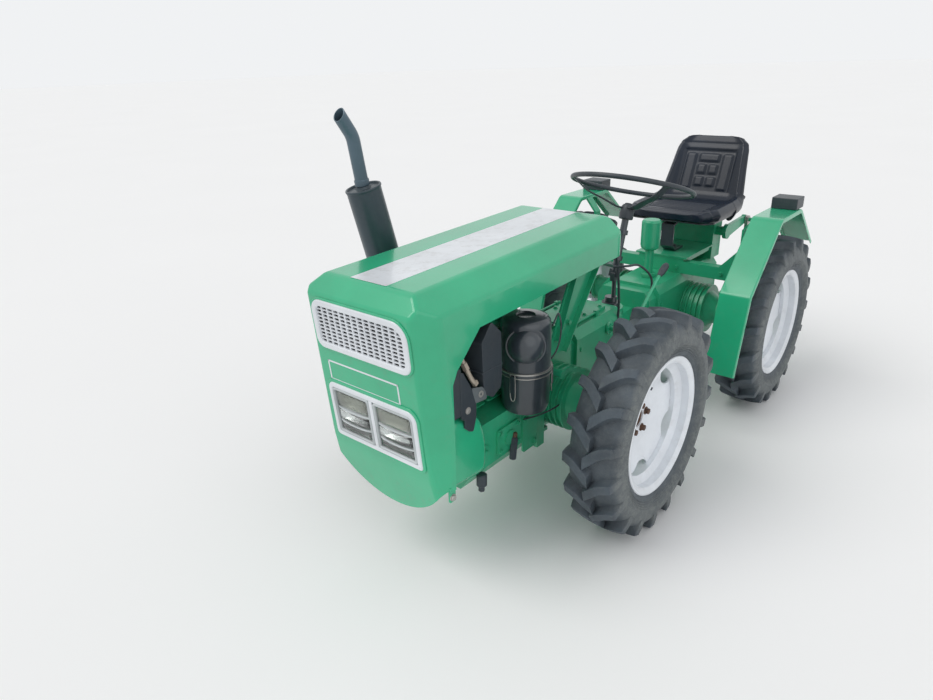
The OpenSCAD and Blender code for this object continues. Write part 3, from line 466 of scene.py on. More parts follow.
def mark_edges(piece):
    """Stores how far each point stands out, as attribute edge: one minus the mean agreement
    between the point's normal and its faces' normals, so that worn paint finds the edges."""
    mesh = piece.data
    points = read(mesh.vertices, "co")
    normals = read(mesh.vertex_normals, "vector")
    a, b = read(mesh.edges, "vertices", 2, int).T
    step = points[b] - points[a]
    span = np.maximum(np.linalg.norm(step, axis=1), 1e-7)
    bend_a = -np.einsum("ij,ij->i", step, normals[a]) / span
    bend_b = np.einsum("ij,ij->i", step, normals[b]) / span
    most = np.full(len(points), -1.0)
    np.maximum.at(most, a, bend_a)
    np.maximum.at(most, b, bend_b)
    least = np.full(len(points), 1.0)
    np.minimum.at(least, a, bend_a)
    np.minimum.at(least, b, bend_b)
    store(mesh, "edge", np.clip(most * 1.6 - 0.25, 0, 1) * (least > -0.25))


def dress(piece, materials, body, replaces=()):
    """Gives a piece its materials, body and the construction nodes that it stands for"""
    slots = piece.data.materials
    for i, made in enumerate(materials):
        if i < len(slots):
            slots[i] = made
        else:
            slots.append(made)
    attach(piece, body)
    if replaces:
        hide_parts(*replaces)
    return piece


def publish(name, shape, materials, body, replaces=(), edge=0.0, edge_steps=2, sharp=32):
    """Makes a piece from a shape: metres, outward faces, modifiers applied and smooth shading"""
    mesh = bpy.data.meshes.new(name)
    mesh.from_pydata(in_metres(shape.points).tolist(), [], shape.faces)
    mesh.polygons.foreach_set("material_index", shape.materials)
    mesh.update()
    set_outwards(mesh)
    piece = mesh_object(name, mesh)
    for _ in materials:
        mesh.materials.append(None)
    bevel(piece, edge, edge_steps)
    if piece.modifiers:
        apply_modifiers(piece)
    shade(piece, sharp)
    mark_edges(piece)
    return dress(piece, materials, body, replaces)


def soften(node, materials, body, edge):
    """A copy of a construction node with merged faces and rounded edges, which replaces it. With
    an edge of 0 the faces stay as they are."""
    source = frame["nodes"][node]
    mesh = source.data.copy()
    work = bmesh.new()
    work.from_mesh(mesh)
    bmesh.ops.remove_doubles(work, verts=work.verts, dist=2e-6)
    if edge:
        bmesh.ops.dissolve_limit(
            work, angle_limit=math.radians(0.6), verts=work.verts, edges=work.edges)
    work.to_mesh(mesh)
    work.free()
    for layer in list(mesh.uv_layers):
        mesh.uv_layers.remove(layer)
    piece = mesh_object(node + "_finished", mesh)
    if edge:
        bevel(piece, edge, angle=30)
        apply_modifiers(piece)
    shade(piece)
    mark_edges(piece)
    return dress(piece, materials, body, (node,))


# Shader groups and materials


class Tree:
    """Adds nodes to a node tree and links them in one call"""

    def __init__(self, tree):
        self.tree = tree

    def add(self, kind, inputs=None, output=0, **settings):
        """Makes a node, sets its own settings, links or sets its inputs, and returns an output"""
        made = self.tree.nodes.new(kind)
        for key, value in settings.items():
            setattr(made, key, value)
        for key, value in (inputs or {}).items():
            self.feed(made.inputs[key], value)
        return made.outputs[output]

    def feed(self, socket, value):
        """Links an output to a socket, or sets the socket's value"""
        if isinstance(value, bpy.types.NodeSocket):
            self.tree.links.new(value, socket)
        else:
            socket.default_value = value

    def place(self):
        """Object coordinates, which lie in the construction's frame in metres"""
        return self.add("ShaderNodeTexCoord", output="Object")

    def stored(self, name):
        """An attribute of the mesh"""
        return self.add("ShaderNodeAttribute", output="Fac", attribute_name=name)

    def math(self, operation, a, b, clamp=False):
        """One sum of two values, kept between 0 and 1 if clamp is set"""
        return self.add("ShaderNodeMath", {0: a, 1: b}, operation=operation, use_clamp=clamp)

    def plus(self, a, b, clamp=False):
        return self.math("ADD", a, b, clamp)

    def times(self, a, b, clamp=False):
        return self.math("MULTIPLY", a, b, clamp)

    def ramp(self, value, low, high):
        """0 at low and below, 1 at high and above, with a smooth step between"""
        return self.add(
            "ShaderNodeMapRange", {"Value": value, "From Min": low, "From Max": high},
            interpolation_type="SMOOTHSTEP")

    def mix(self, factor, a, b):
        """Colour between a and b"""
        return self.add("ShaderNodeMix", {0: factor, 6: a, 7: b}, output=2, data_type="RGBA")

    def noise(self, vector, scale, detail=4.0, roughness=0.55):
        """Cloudy noise between 0 and 1"""
        return self.add("ShaderNodeTexNoise", {
            "Vector": vector, "Scale": scale, "Detail": detail, "Roughness": roughness})


def group(name, inputs, outputs, build):
    """A shader node group made once: inputs are (name, kind, default), outputs (name, kind)"""
    if name in bpy.data.node_groups:
        return bpy.data.node_groups[name]
    tree = bpy.data.node_groups.new(name, "ShaderNodeTree")
    for title, kind, default in inputs:
        socket = tree.interface.new_socket(
            title, in_out="INPUT", socket_type="NodeSocket" + kind)
        socket.default_value = default
    for title, kind in outputs:
        tree.interface.new_socket(title, in_out="OUTPUT", socket_type="NodeSocket" + kind)
    given = tree.nodes.new("NodeGroupInput")
    made = build(Tree(tree), given.outputs)
    end = tree.nodes.new("NodeGroupOutput")
    for title, _ in outputs:
        tree.links.new(made[title], end.inputs[title])
    return tree


def dust_group():
    """Dust lies where the surface looks up and in cloudy patches: mask = patches * (side share +
    upward share), and the colour turns from the paint's to the dust's by the mask."""
    def build(tree, given):
        place = tree.place()
        normal = tree.add("ShaderNodeTexCoord", output="Normal")
        upward = tree.add("ShaderNodeSeparateXYZ", {0: normal}, output="Z")
        cloud = tree.ramp(tree.noise(place, 7.0, 6.0, 0.62), 0.36, 0.70)
        grit = tree.ramp(tree.noise(place, 90.0, 3.0, 0.6), 0.30, 0.75)
        lying = tree.ramp(upward, 0.15, 0.95)
        share = tree.plus(tree.times(lying, given["Top"]), given["Side"])
        mask = tree.times(tree.times(cloud, share), grit, clamp=True)
        return {"Color": tree.mix(mask, given["Paint"], given["Dust"]), "Mask": mask}
    return group(
        "Lying dust",
        [("Paint", "Color", (1, 1, 1, 1)), ("Dust", "Color", (1, 1, 1, 1)),
         ("Top", "Float", 0.5), ("Side", "Float", 0.1)],
        [("Color", "Color"), ("Mask", "Float")], build)


def film_group():
    """Slow waves and fine orange peel of brushed or sprayed paint, and its uneven tone"""
    def build(tree, given):
        place = tree.place()
        peel = tree.noise(place, given["Grain"], 3.0, 0.5)
        wave = tree.noise(place, 9.0, 2.0, 0.4)
        tone = tree.noise(place, 3.2, 5.0, 0.6)
        height = tree.plus(tree.times(peel, 0.25), wave)
        return {"Height": height, "Tone": tree.ramp(tone, 0.3, 0.7)}
    return group("Paint film", [("Grain", "Float", 260.0)],
                 [("Height", "Float"), ("Tone", "Float")], build)


def chips_group():
    """Chips and rubbed spots: high where fine cells are small and where the surface has an edge"""
    def build(tree, given):
        place = tree.place()
        edge = tree.stored("edge")
        spots = tree.ramp(tree.noise(place, 130.0, 4.0, 0.7), 0.66, 0.72)
        rub = tree.ramp(tree.noise(place, 34.0, 5.0, 0.65), 0.50, 0.66)
        worn = tree.times(tree.times(edge, rub), given["Edges"])
        mask = tree.plus(worn, tree.times(spots, given["Spots"]), clamp=True)
        return {"Mask": mask}
    return group("Chips and wear", [("Edges", "Float", 0.6), ("Spots", "Float", 0.1)],
                 [("Mask", "Float")], build)


def grime_group():
    """Dirt that thins out upwards from the floor, in streaky patches"""
    def build(tree, given):
        place = tree.place()
        height = tree.add("ShaderNodeSeparateXYZ", {0: place}, output="Z")
        low = tree.ramp(height, given["Height"], 0.05)
        streak = tree.add("ShaderNodeMapping", {"Vector": place, "Scale": (30.0, 30.0, 6.0)})
        patch = tree.ramp(tree.noise(streak, 1.0, 5.0, 0.6), 0.35, 0.75)
        mask = tree.times(tree.times(low, patch), given["Amount"], clamp=True)
        return {"Color": tree.mix(mask, given["Paint"], given["Dirt"]), "Mask": mask}
    return group(
        "Low grime",
        [("Paint", "Color", (1, 1, 1, 1)), ("Dirt", "Color", (0.1, 0.08, 0.05, 1)),
         ("Height", "Float", 0.6), ("Amount", "Float", 0.5)],
        [("Color", "Color"), ("Mask", "Float")], build)


def opaque(rgb, factor=1.0):
    """A linear colour with full alpha, made lighter or darker by a factor"""
    return tuple(min(1.0, value * factor) for value in rgb) + (1.0,)


def new_material(name, **values):
    """Material with one Principled shader; values set the shader's own sockets"""
    made = bpy.data.materials.new(name)
    made.use_nodes = True
    shader = made.node_tree.nodes["Principled BSDF"]
    for key, value in values.items():
        shader.inputs[key.replace("_", " ")].default_value = value
    return made, Tree(made.node_tree), shader


def use(tree, made, **values):
    """Places a shader group in a material and returns its outputs by name"""
    node = tree.tree.nodes.new("ShaderNodeGroup")
    node.node_tree = made
    for key, value in values.items():
        tree.feed(node.inputs[key], value)
    return node.outputs


def wire(tree, shader, **sockets):
    """Links outputs to the shader's sockets by name, or sets them"""
    for key, value in sockets.items():
        tree.feed(shader.inputs[key.replace("_", " ")], value)


def bump(tree, shader, height, strength, distance):
    """Feeds the shader's normal from a height; distance is in metres"""
    wire(tree, shader, Normal=tree.add("ShaderNodeBump", {
        "Height": height, "Strength": strength, "Distance": distance}, output="Normal"))


def dusted(tree, shader, base, dust, top, side, rough, gain):
    """Lays dust over a base colour, and makes the surface rougher by gain where it lies"""
    dusty = use(tree, dust_group(), Paint=base, Dust=opaque(colours().dust, dust), Top=top,
                Side=side)
    wire(tree, shader, Base_Color=dusty["Color"],
         Roughness=tree.plus(tree.times(dusty["Mask"], gain), rough, clamp=True))


LOW_DIRT = (0.085, 0.072, 0.052, 1.0)
WALL_DUST = (0.195, 0.210, 0.205, 1.0)
HEAT_BLOOM = (0.055, 0.040, 0.032, 1.0)


def enamel(name, rgb, gloss=0.26, coat=0.5, top=0.16, side=0.05, edges=0.5, spots=0.06,
           under=(0.16, 0.15, 0.13), grain=240.0, peel=0.20, grime=0.25, grime_height=0.45):
    """Glossy paint with an uneven film, dust, worn edges that show primer, and low dirt"""
    made, tree, shader = new_material(name, Metallic=0.0, Coat_Weight=coat, Coat_Roughness=0.08)
    film = use(tree, film_group(), Grain=grain)
    paint = tree.mix(film["Tone"], opaque(rgb, 0.90), opaque(rgb, 1.08))
    dusty = use(tree, dust_group(), Paint=paint, Dust=opaque(colours().dust), Top=top, Side=side)
    low = use(tree, grime_group(), Paint=dusty["Color"], Amount=grime, Height=grime_height,
              Dirt=LOW_DIRT)
    chips = use(tree, chips_group(), Edges=edges, Spots=spots)
    colour_out = tree.mix(chips["Mask"], low["Color"], opaque(under))
    rough = tree.plus(tree.times(dusty["Mask"], 0.45), gloss)
    rough = tree.plus(rough, tree.times(chips["Mask"], 0.3), clamp=True)
    wire(tree, shader, Base_Color=colour_out, Roughness=rough)
    bump(tree, shader, film["Height"], peel, 0.0012)
    return made


def rubber(name, rgb):
    """Tyre rubber: blue-black bars, a greyer carcass between them and dry dust on the walls"""
    made, tree, shader = new_material(name, Metallic=0.0)
    place = tree.place()
    part = tree.stored("wall")
    grain = tree.noise(place, 420.0, 4.0, 0.7)
    cloud = tree.ramp(tree.noise(place, 11.0, 6.0, 0.65), 0.30, 0.70)
    scuff = tree.ramp(tree.noise(place, 60.0, 5.0, 0.7), 0.42, 0.62)
    fine = tree.ramp(tree.noise(place, 300.0, 3.0, 0.7), 0.35, 0.70)
    mask = tree.plus(tree.times(part, 0.95), 0.09)
    for pattern, rest in ((cloud, 0.65), (scuff, 0.65), (fine, 0.70)):
        mask = tree.times(mask, tree.plus(tree.times(pattern, 0.45), rest), clamp=True)
    rubbed = tree.times(tree.times(tree.stored("edge"), 0.40), scuff)
    mask = tree.math("MAXIMUM", mask, rubbed)
    base = tree.mix(cloud, opaque(rgb, 0.8), opaque(rgb, 1.3))
    wire(tree, shader, Base_Color=tree.mix(mask, base, WALL_DUST),
         Roughness=tree.plus(tree.times(mask, 0.30), 0.56, clamp=True))
    height = tree.plus(grain, tree.times(scuff, 0.6))
    bump(tree, shader, height, 0.35, 0.0015)
    return made


def plain(name, rgb, rough, metallic=0.0, peel=0.15, top=0.25, **values):
    """Black paint, plastic or bare steel with a fine surface and a little dust"""
    made, tree, shader = new_material(name, Metallic=metallic, **values)
    film = use(tree, film_group(), Grain=200.0)
    base = tree.mix(film["Tone"], opaque(rgb, 0.8), opaque(rgb, 1.25))
    dusted(tree, shader, base, 0.6, top, 0.08, rough, 0.35)
    bump(tree, shader, film["Height"], peel, 0.001)
    return made


def rusty(name, rgb):
    """Rusted steel: brown with darker and lighter blotches and a rough skin"""
    made, tree, shader = new_material(name, Metallic=0.15)
    blotch = tree.ramp(tree.noise(tree.place(), 120.0, 5.0, 0.7), 0.35, 0.65)
    wire(tree, shader, Base_Color=tree.mix(blotch, opaque(rgb, 0.6), opaque(rgb, 2.2)),
         Roughness=tree.plus(tree.times(blotch, 0.2), 0.6))
    bump(tree, shader, blotch, 0.5, 0.001)
    return made


def vinyl(name, rgb):
    """Moulded black vinyl: pebbled grain, a soft shine and a little dust in the hollows"""
    made, tree, shader = new_material(name, Coat_Weight=0.12, Coat_Roughness=0.25,
                                      Specular_IOR_Level=0.35)
    pebble = tree.add("ShaderNodeTexVoronoi", {"Vector": tree.place(), "Scale": 520.0},
                      output="Distance", feature="SMOOTH_F1")
    film = use(tree, film_group(), Grain=120.0)
    base = tree.mix(film["Tone"], opaque(rgb, 0.8), opaque(rgb, 1.3))
    dusted(tree, shader, base, 0.5, 0.012, 0.004, 0.30, 0.4)
    bump(tree, shader, pebble, 0.10, 0.0006)
    return made


def muffler_paint(name, rgb):
    """Satin heat paint: blue-black with a warmer, duller bloom towards the hot inlet"""
    made, tree, shader = new_material(name, Metallic=0.25, Coat_Weight=0.1)
    height = tree.add("ShaderNodeSeparateXYZ", {0: tree.place()}, output="Z")
    film = use(tree, film_group(), Grain=180.0)
    hot = tree.times(tree.ramp(height, 0.82, 0.66), film["Tone"])
    base = tree.mix(film["Tone"], opaque(rgb, 0.85), opaque(rgb, 1.2))
    base = tree.mix(hot, base, HEAT_BLOOM)
    dusted(tree, shader, base, 0.6, 0.3, 0.06, 0.36, 0.3)
    bump(tree, shader, film["Height"], 0.15, 0.0008)
    return made


def lens(name, rgb):
    """Clear moulded glass or plastic with fine flutes"""
    made, tree, shader = new_material(
        name, Metallic=0.0, Transmission_Weight=1.0, IOR=1.49, Roughness=0.06)
    place = tree.place()
    haze = tree.noise(place, 40.0, 4.0, 0.6)
    wire(tree, shader, Base_Color=tree.mix(haze, opaque(rgb, 0.94), opaque(rgb, 1.0)))
    flutes = tree.add("ShaderNodeTexWave", {"Vector": place, "Scale": 70.0},
                      output="Fac", bands_direction="X", wave_profile="SIN")
    bump(tree, shader, flutes, 0.12, 0.0012)
    return made


def reflector(name):
    """Silvered reflector, a little hazy"""
    made, tree, shader = new_material(name, Metallic=1.0)
    haze = tree.noise(tree.place(), 60.0, 4.0, 0.6)
    wire(tree, shader, Base_Color=tree.mix(haze, (0.62, 0.64, 0.64, 1), (0.86, 0.87, 0.86, 1)),
         Roughness=tree.plus(tree.times(haze, 0.2), 0.12))
    return made


MATERIALS = {}


def make_materials():
    """All finishes of the tractor, by plain names"""
    c = colours()
    MATERIALS.update(
        green=enamel("Green enamel", c.green, gloss=0.24, coat=0.5, top=0.02, side=0.008,
                     edges=0.12, spots=0.01, grime=0.06),
        # Green inside: the green at 0.22 of its strength, painted shade for the inner faces of
        # hood and nose and for the fan cowl, which lie in shadow
        inside=enamel("Green inside with painted shade", [v * 0.22 for v in c.green], gloss=0.6, coat=0.0, top=0.3,
                      side=0.1, edges=0.2, spots=0.02),
        cast=enamel("Green cast iron", [v * 0.92 for v in c.green], gloss=0.36, coat=0.3,
                    top=0.16, side=0.05, edges=0.35, spots=0.03, grain=150.0, peel=0.5,
                    grime=0.40, grime_height=0.5),
        white=enamel("White enamel", c.white, gloss=0.30, coat=0.4, top=0.08, side=0.04,
                     edges=0.22, spots=0.03, under=(0.30, 0.27, 0.22), grime=0.10),
        # Wheel white: the white enamel made 1.12 times lighter, painted light that lifts the
        # discs, which face away from the lamps
        wheel=enamel("White wheel enamel with painted light", [v * 1.12 for v in c.white], gloss=0.34, coat=0.3,
                     top=0.07, side=0.04, edges=0.25, spots=0.05, under=(0.26, 0.20, 0.15),
                     grime=0.06),
        black=plain("Black paint", c.black, 0.30, Coat_Weight=0.5),
        brass=plain("Worn brass", (0.38, 0.33, 0.27), 0.45, metallic=0.4),
        plastic=plain("Black plastic", c.black, 0.42),
        hose=plain("Black hose", c.black, 0.5),
        muffler=muffler_paint("Muffler paint", c.muffler),
        pipe=muffler_paint("Worn pipe paint", [v * 2.2 for v in c.muffler]),
        tyre=rubber("Tyre rubber", c.rubber),
        vinyl=vinyl("Black vinyl", c.vinyl),
        steel=plain("Dull steel", c.steel, 0.42, metallic=0.85, peel=0.1),
        rust=rusty("Rusted steel", c.rust),
        glass=lens("Lamp glass", (0.92, 0.95, 0.94)),
        mirror=reflector("Lamp reflector"),
        red=plain("Red lens", (0.38, 0.010, 0.008), 0.16, Coat_Weight=0.6, top=0.1),
        amber=plain("Amber lens", (0.55, 0.13, 0.010), 0.16, Coat_Weight=0.6, top=0.1),
        # Near-black finish of the sheet behind the grille: painted shade for the dark space inside
        # the nose
        dark=plain("Painted shade behind grille", (0.012, 0.014, 0.013), 0.6),
        smoke=plain("Dull reflector", (0.36, 0.37, 0.31), 0.28, metallic=0.6, peel=0.1, top=0.1),
        shade=plain("Dark reflector", (0.10, 0.11, 0.11), 0.3, metallic=0.3, peel=0.1, top=0.1),
        frost=plain("Frosted rim", (0.46, 0.50, 0.51), 0.25, Coat_Weight=0.6, top=0.1),
        bracket=plain("Bare bracket", (0.13, 0.15, 0.16), 0.5, metallic=0.4),
    )


class TRACTOR_OT_materials(bpy.types.Operator):
    """Make the finishes and their shared shader groups"""

    bl_idname = "tractor.materials"
    bl_label = "Finishes"

    def execute(self, context):
        make_materials()
        return {"FINISHED"}


# Studio


# The camera of the photograph, solved from the rims and the nose's corners: place in metres,
# turns in radians
CAMERA_PLACE = (1.1760, AXLE_Y - 1.6457, 1.3108)
CAMERA_YAW = 0.7147
CAMERA_PITCH = 0.4018
CAMERA_ROLL = -0.0333
CAMERA_FOCUS_PIXELS = 680.02
PHOTO_WIDTH = 933.0
SENSOR = 36.0
FLOOR_REACH = 90.0
# Strength of the world as it lights the tractor and as the camera sees it, and of the key sun
SKY = 0.62
BACKDROP = 0.90
SUN = 1.05


def camera_matrix():
    """Axes of a camera that looks along a yaw from +y towards -x, pitched down and rolled"""
    forward = np.array([-math.sin(CAMERA_YAW) * math.cos(CAMERA_PITCH),
                        math.cos(CAMERA_YAW) * math.cos(CAMERA_PITCH), -math.sin(CAMERA_PITCH)])
    level = np.array([math.cos(CAMERA_YAW), math.sin(CAMERA_YAW), 0.0])
    lift = np.cross(level, forward)
    c, s = math.cos(CAMERA_ROLL), math.sin(CAMERA_ROLL)
    right, up = c * level + s * lift, -s * level + c * lift
    turn = Matrix(np.stack([right, up, -forward], 1).tolist()).to_4x4()
    return Matrix.Translation(CAMERA_PLACE) @ turn


def soft_sun(name, source, strength, spread, tint):
    """A sun that shines from the direction of source, with a wide disc for soft shadows"""
    data = bpy.data.lights.new(name, "SUN")
    data.energy = strength
    data.angle = math.radians(spread)
    data.color = tint
    made = bpy.data.objects.new(name, data)
    bpy.context.scene.collection.objects.link(made)
    made.rotation_mode = "QUATERNION"
    made.rotation_quaternion = Vector(source).to_track_quat("Z", "Y")
    return made


def make_studio():
    """Camera at the photograph's angle, a pale floor and soft lights"""
    scene = bpy.context.scene
    scene.view_settings.view_transform = "Standard"
    camera = bpy.data.cameras.new("Camera")
    camera.sensor_width = SENSOR
    camera.sensor_fit = "HORIZONTAL"
    camera.lens = CAMERA_FOCUS_PIXELS / PHOTO_WIDTH * SENSOR
    camera.clip_start, camera.clip_end = 0.05, 200.0
    stand = bpy.data.objects.new("Camera", camera)
    scene.collection.objects.link(stand)
    stand.matrix_world = camera_matrix()
    scene.camera = stand

    mesh = bpy.data.meshes.new("floor")
    corners = [(x, y, 0) for x, y in rectangle(2 * FLOOR_REACH, 2 * FLOOR_REACH)]
    mesh.from_pydata(corners, [], [(0, 1, 2, 3)])
    floor = mesh_object("floor", mesh)
    made, tree, shader = new_material("Studio floor", Roughness=0.95, Specular_IOR_Level=0.1)
    cloud = tree.noise(tree.place(), 0.6, 3.0, 0.5)
    tone = colours().floor
    wire(tree, shader, Base_Color=tree.mix(cloud, opaque(tone, 0.985), opaque(tone, 1.015)))
    mesh.materials.append(made)

    world = bpy.data.worlds.new("Studio")
    scene.world = world
    world.use_nodes = True
    tree = Tree(world.node_tree)
    back = world.node_tree.nodes["Background"]
    rays = world.node_tree.nodes.new("ShaderNodeLightPath")
    seen = tree.math("MAXIMUM", rays.outputs["Is Camera Ray"], rays.outputs["Is Glossy Ray"])
    seen = tree.math("MAXIMUM", seen, rays.outputs["Is Transmission Ray"])
    wire(tree, back, Strength=tree.plus(tree.times(seen, BACKDROP - SKY), SKY),
         Color=(0.97, 0.985, 1.0, 1.0))

    soft_sun("Key sun", (-0.55, -0.75, 1.15), SUN, 38.0, (1.0, 0.985, 0.96))
    soft_sun("Fill sun", (0.95, -0.35, 0.75), SUN * 0.40, 60.0, (0.96, 0.98, 1.0))


class TRACTOR_OT_studio(bpy.types.Operator):
    """Make the camera, the pale floor and the soft lights"""

    bl_idname = "tractor.studio"
    bl_label = "Studio"

    def execute(self, context):
        make_studio()
        return {"FINISHED"}


# Wheels and tyres, in a wheel's own frame: the axis is z and the outer side is +z


RIM_W = 129.0
BEAD_R = 190.0
FLANGE_R = 208.0
# Thickness of rim and disc, and how far the bolt face lies in from the rim's edge
RIM_T = 4.5
DISC_DEPTH = 80.0
HUB_D = 112.0
WELL_R = BEAD_R - 22.0
NOTCH_D = 104.0
NOTCH_TURN = 65.0
BOLT_CIRCLE = 86.0
BOLT_TURN = 30.0
BORE_R = 27.0
# Slope of a bar up to its knee, and beyond it
LUG_SLANT = 0.95
LUG_TAIL = 0.14


def wheel_places():
    """Name, body, side and centre of each wheel, in tractor millimetres"""
    for end, y in (("front", 0.0), ("rear", WHEELBASE)):
        for side, sign in (("left", 1), ("right", -1)):
            yield f"{end}_{side}", f"wheel_{end}_{side}", sign, (sign * WHEEL_X, y, AXLE_Z)


def stand_wheel(shape, side, place):
    """Turns a wheel's own frame so that its outer side looks outwards on the tractor"""
    return shape.moved(place, turn_about("y", 90 * side))


def curve_through(points, count):
    """Points evenly spaced along a smooth line through the given points in a plane"""
    points = np.asarray(points, float)
    line = smooth_path(np.hstack([points, np.zeros((len(points), 1))]), 12)[:, :2]
    gone = np.concatenate([[0], np.cumsum(np.linalg.norm(np.diff(line, axis=0), axis=1))])
    at = np.linspace(0, gone[-1], count)
    return np.stack([np.interp(at, gone, line[:, 0]), np.interp(at, gone, line[:, 1])], 1)


def carcass_half(w):
    """Radius and half width from the bead to the middle of the tread, without the lugs. Fine
    rings stand on the wall between the rim and the shoulder."""
    ribs = [(start + along_wall, out + rise)
            for start, out in ((12, 4.5), (18, 7.0), (24, 10.0), (30, 12.4))
            for along_wall, rise in ((0, -1.5), (1, 0), (3, 0.2), (4, -0.9))]
    # Beside the rim the places count from its flange, at the shoulder from the tyre's half width
    low = [(-1, -6), (2, -1), (8, 2), *ribs]
    high = [(38, 2.4), (40, 0.7), (43, 0.5), (45, 1.8), (54, 2.6), (64, 4.2), (74, 7.5),
            (83, 12.5), (89, 20), (93, 31), (96, 46), (98, 62), (98, w)]
    return ([(BEAD_R + 1, RIM_W / 2 - 6)] + [(FLANGE_R + a, RIM_W / 2 + b) for a, b in low]
            + [(FLANGE_R + a, w - b) for a, b in high])


def tyre_shape():
    """Carcass of revolution with two rows of bars. A bar runs at a slant from the middle and
    turns almost straight across the tread before its square end at the shoulder. Its foot lies
    just inside the carcass, and its section across is a trapezium with narrow chamfers."""
    s = sizes()
    r, w = TYRE_D / 2, TYRE_W / 2
    half = np.array(carcass_half(w))
    ring = np.vstack([half, (half * [1, -1])[-2::-1], [[BEAD_R - 3, -RIM_W / 2 + 12]],
                      [[BEAD_R - 3, RIM_W / 2 - 12]]])
    carcass = revolve(ring, 114, closed=True)

    low = r - s.lug_height - 8
    # Radius and axial place of crown and foot at stations along a bar
    crown = np.array([(r - 0.1, -8), (r - 0.1, 4), (r - 0.3, 16), (r - 0.9, 28), (r - 2.0, 40),
                      (r - 3.6, w - 31), (r - 5.4, w - 20), (r - 7.2, w - 11.6),
                      (r - 9.4, w - 9.6), (r - 30, w - 5.6), (r - 46, w - 3.6),
                      (r - 57, w - 3.4), (r - 64, w - 8)])
    foot = np.array([(low, -8), (low, 4), (low, 16), (low - 1, 28), (low - 3, 40),
                     (low - 6, w - 35), (low - 9, w - 28), (low - 13, w - 23),
                     (low - 16, w - 20), (low - 24, w - 17), (low - 30, w - 14),
                     (low - 36, w - 12), (low - 40, w - 12)])
    # Across a bar: place over its width, height between foot and crown, and flare at the foot
    across = np.array([(-1, 0.0, 9), (-1, 0.30, 4.5), (-1, 0.55, 2.0), (-1, 0.93, 0),
                       (-0.90, 1.0, 0), (0.0, 1.0, 0), (0.90, 1.0, 0), (1, 0.93, 0),
                       (1, 0.55, 2.0), (1, 0.30, 4.5), (1, 0.0, 9)])
    height = across[None, :, 1]
    radial = foot[:, 0][:, None] * (1 - height) + crown[:, 0][:, None] * height
    axial = foot[:, 1][:, None] * (1 - height) + crown[:, 1][:, None] * height
    # The middle line slants by LUG_SLANT up to the knee and by LUG_TAIL beyond it
    along_bar = axial + 8
    knee, soft = w - 33, 9.0
    past = soft * np.logaddexp(0, (along_bar - knee) / soft)
    middle = 12 - LUG_SLANT * (along_bar - past) - LUG_TAIL * past
    slope = LUG_SLANT - (LUG_SLANT - LUG_TAIL) / (1 + np.exp(-(along_bar - knee) / soft))
    width = s.lug_width / 2 * np.sqrt(1 + slope ** 2)
    shift = middle + across[None, :, 0] * width + np.sign(across[None, :, 0]) * across[None, :, 2]
    angle = shift / (r - 12)
    rows = []
    for k in range(s.lug_count):
        for sign, phase in ((1, 0.0), (-1, 0.5)):
            turn = angle + (k + phase) * 2 * math.pi / s.lug_count
            points = np.stack([radial * np.cos(turn), radial * np.sin(turn), sign * axial], -1)
            rows.append(grid(points, wrap_v=True, cap_ends=True))
    return carcass + total(rows)


def mark_walls(piece, place):
    """Stores how dusty a point of a tyre gets, as attribute wall: full on the walls, some between
    the bars and nothing on the bars' worn tops."""
    points = in_millimetres(read(piece.data.vertices, "co")) - place
    radius = np.hypot(points[:, 1], points[:, 2])
    side = np.abs(points[:, 0]) / (TYRE_W / 2)
    low = np.clip((TYRE_D / 2 - 9 - radius) / 12, 0, 1)
    wall = np.clip((side - 0.80) / 0.14, 0, 1) * np.clip((TYRE_D / 2 - 16 - radius) / 26, 0, 1)
    store(piece.data, "wall", np.clip(0.22 * low + 0.85 * wall, 0, 1))


def rim_profile():
    """Closed section of the rim: rolled flanges, bead seats and the well, as radius and z"""
    h, t = RIM_W / 2, RIM_T
    outer = [(FLANGE_R - 5, h - 0.2), (FLANGE_R - 1.5, h - 1.2), (FLANGE_R, h - 4),
             (FLANGE_R - 1.5, h - 6), (FLANGE_R - 6, h - 7), (BEAD_R + 3, h - 8),
             (BEAD_R, h - 12), (BEAD_R, h - 30), (WELL_R, h - 43)]
    half = outer + [(WELL_R, 0)]
    line = np.array(half + [(a, -b) for a, b in reversed(outer)])
    inner = np.array([(FLANGE_R - 7, h), (FLANGE_R - 10, h - 2), (BEAD_R + 2, h - 3.4),
                      (BEAD_R - t, h - 9), (BEAD_R - t, h - 32), (WELL_R - t, h - 45),
                      (WELL_R - t, 0)])
    inside = np.vstack([inner, (inner * [1, -1])[-2::-1]])
    return np.vstack([line, inside[::-1]])


def disc_edge(angle):
    """Radius of the disc's edge at an angle: the well's wall, or where a notch's circle cuts in,
    c cos(a) - sqrt(q^2 - c^2 sin^2(a)) for a circle of radius q at distance c"""
    s = sizes()
    full = WELL_R - RIM_T - 1.0
    centre, q = WELL_R + 10.0, NOTCH_D / 2
    pitch = 2 * math.pi / s.notch_count
    phase = math.radians(NOTCH_TURN)
    near = (angle - phase + pitch / 2) % pitch - pitch / 2
    under = q ** 2 - (centre * np.sin(near)) ** 2
    cut = centre * np.cos(near) - np.sqrt(np.maximum(under, 0.0))
    return np.where((under > 0) & (np.abs(near) < math.pi / 2), np.minimum(cut, full), full)


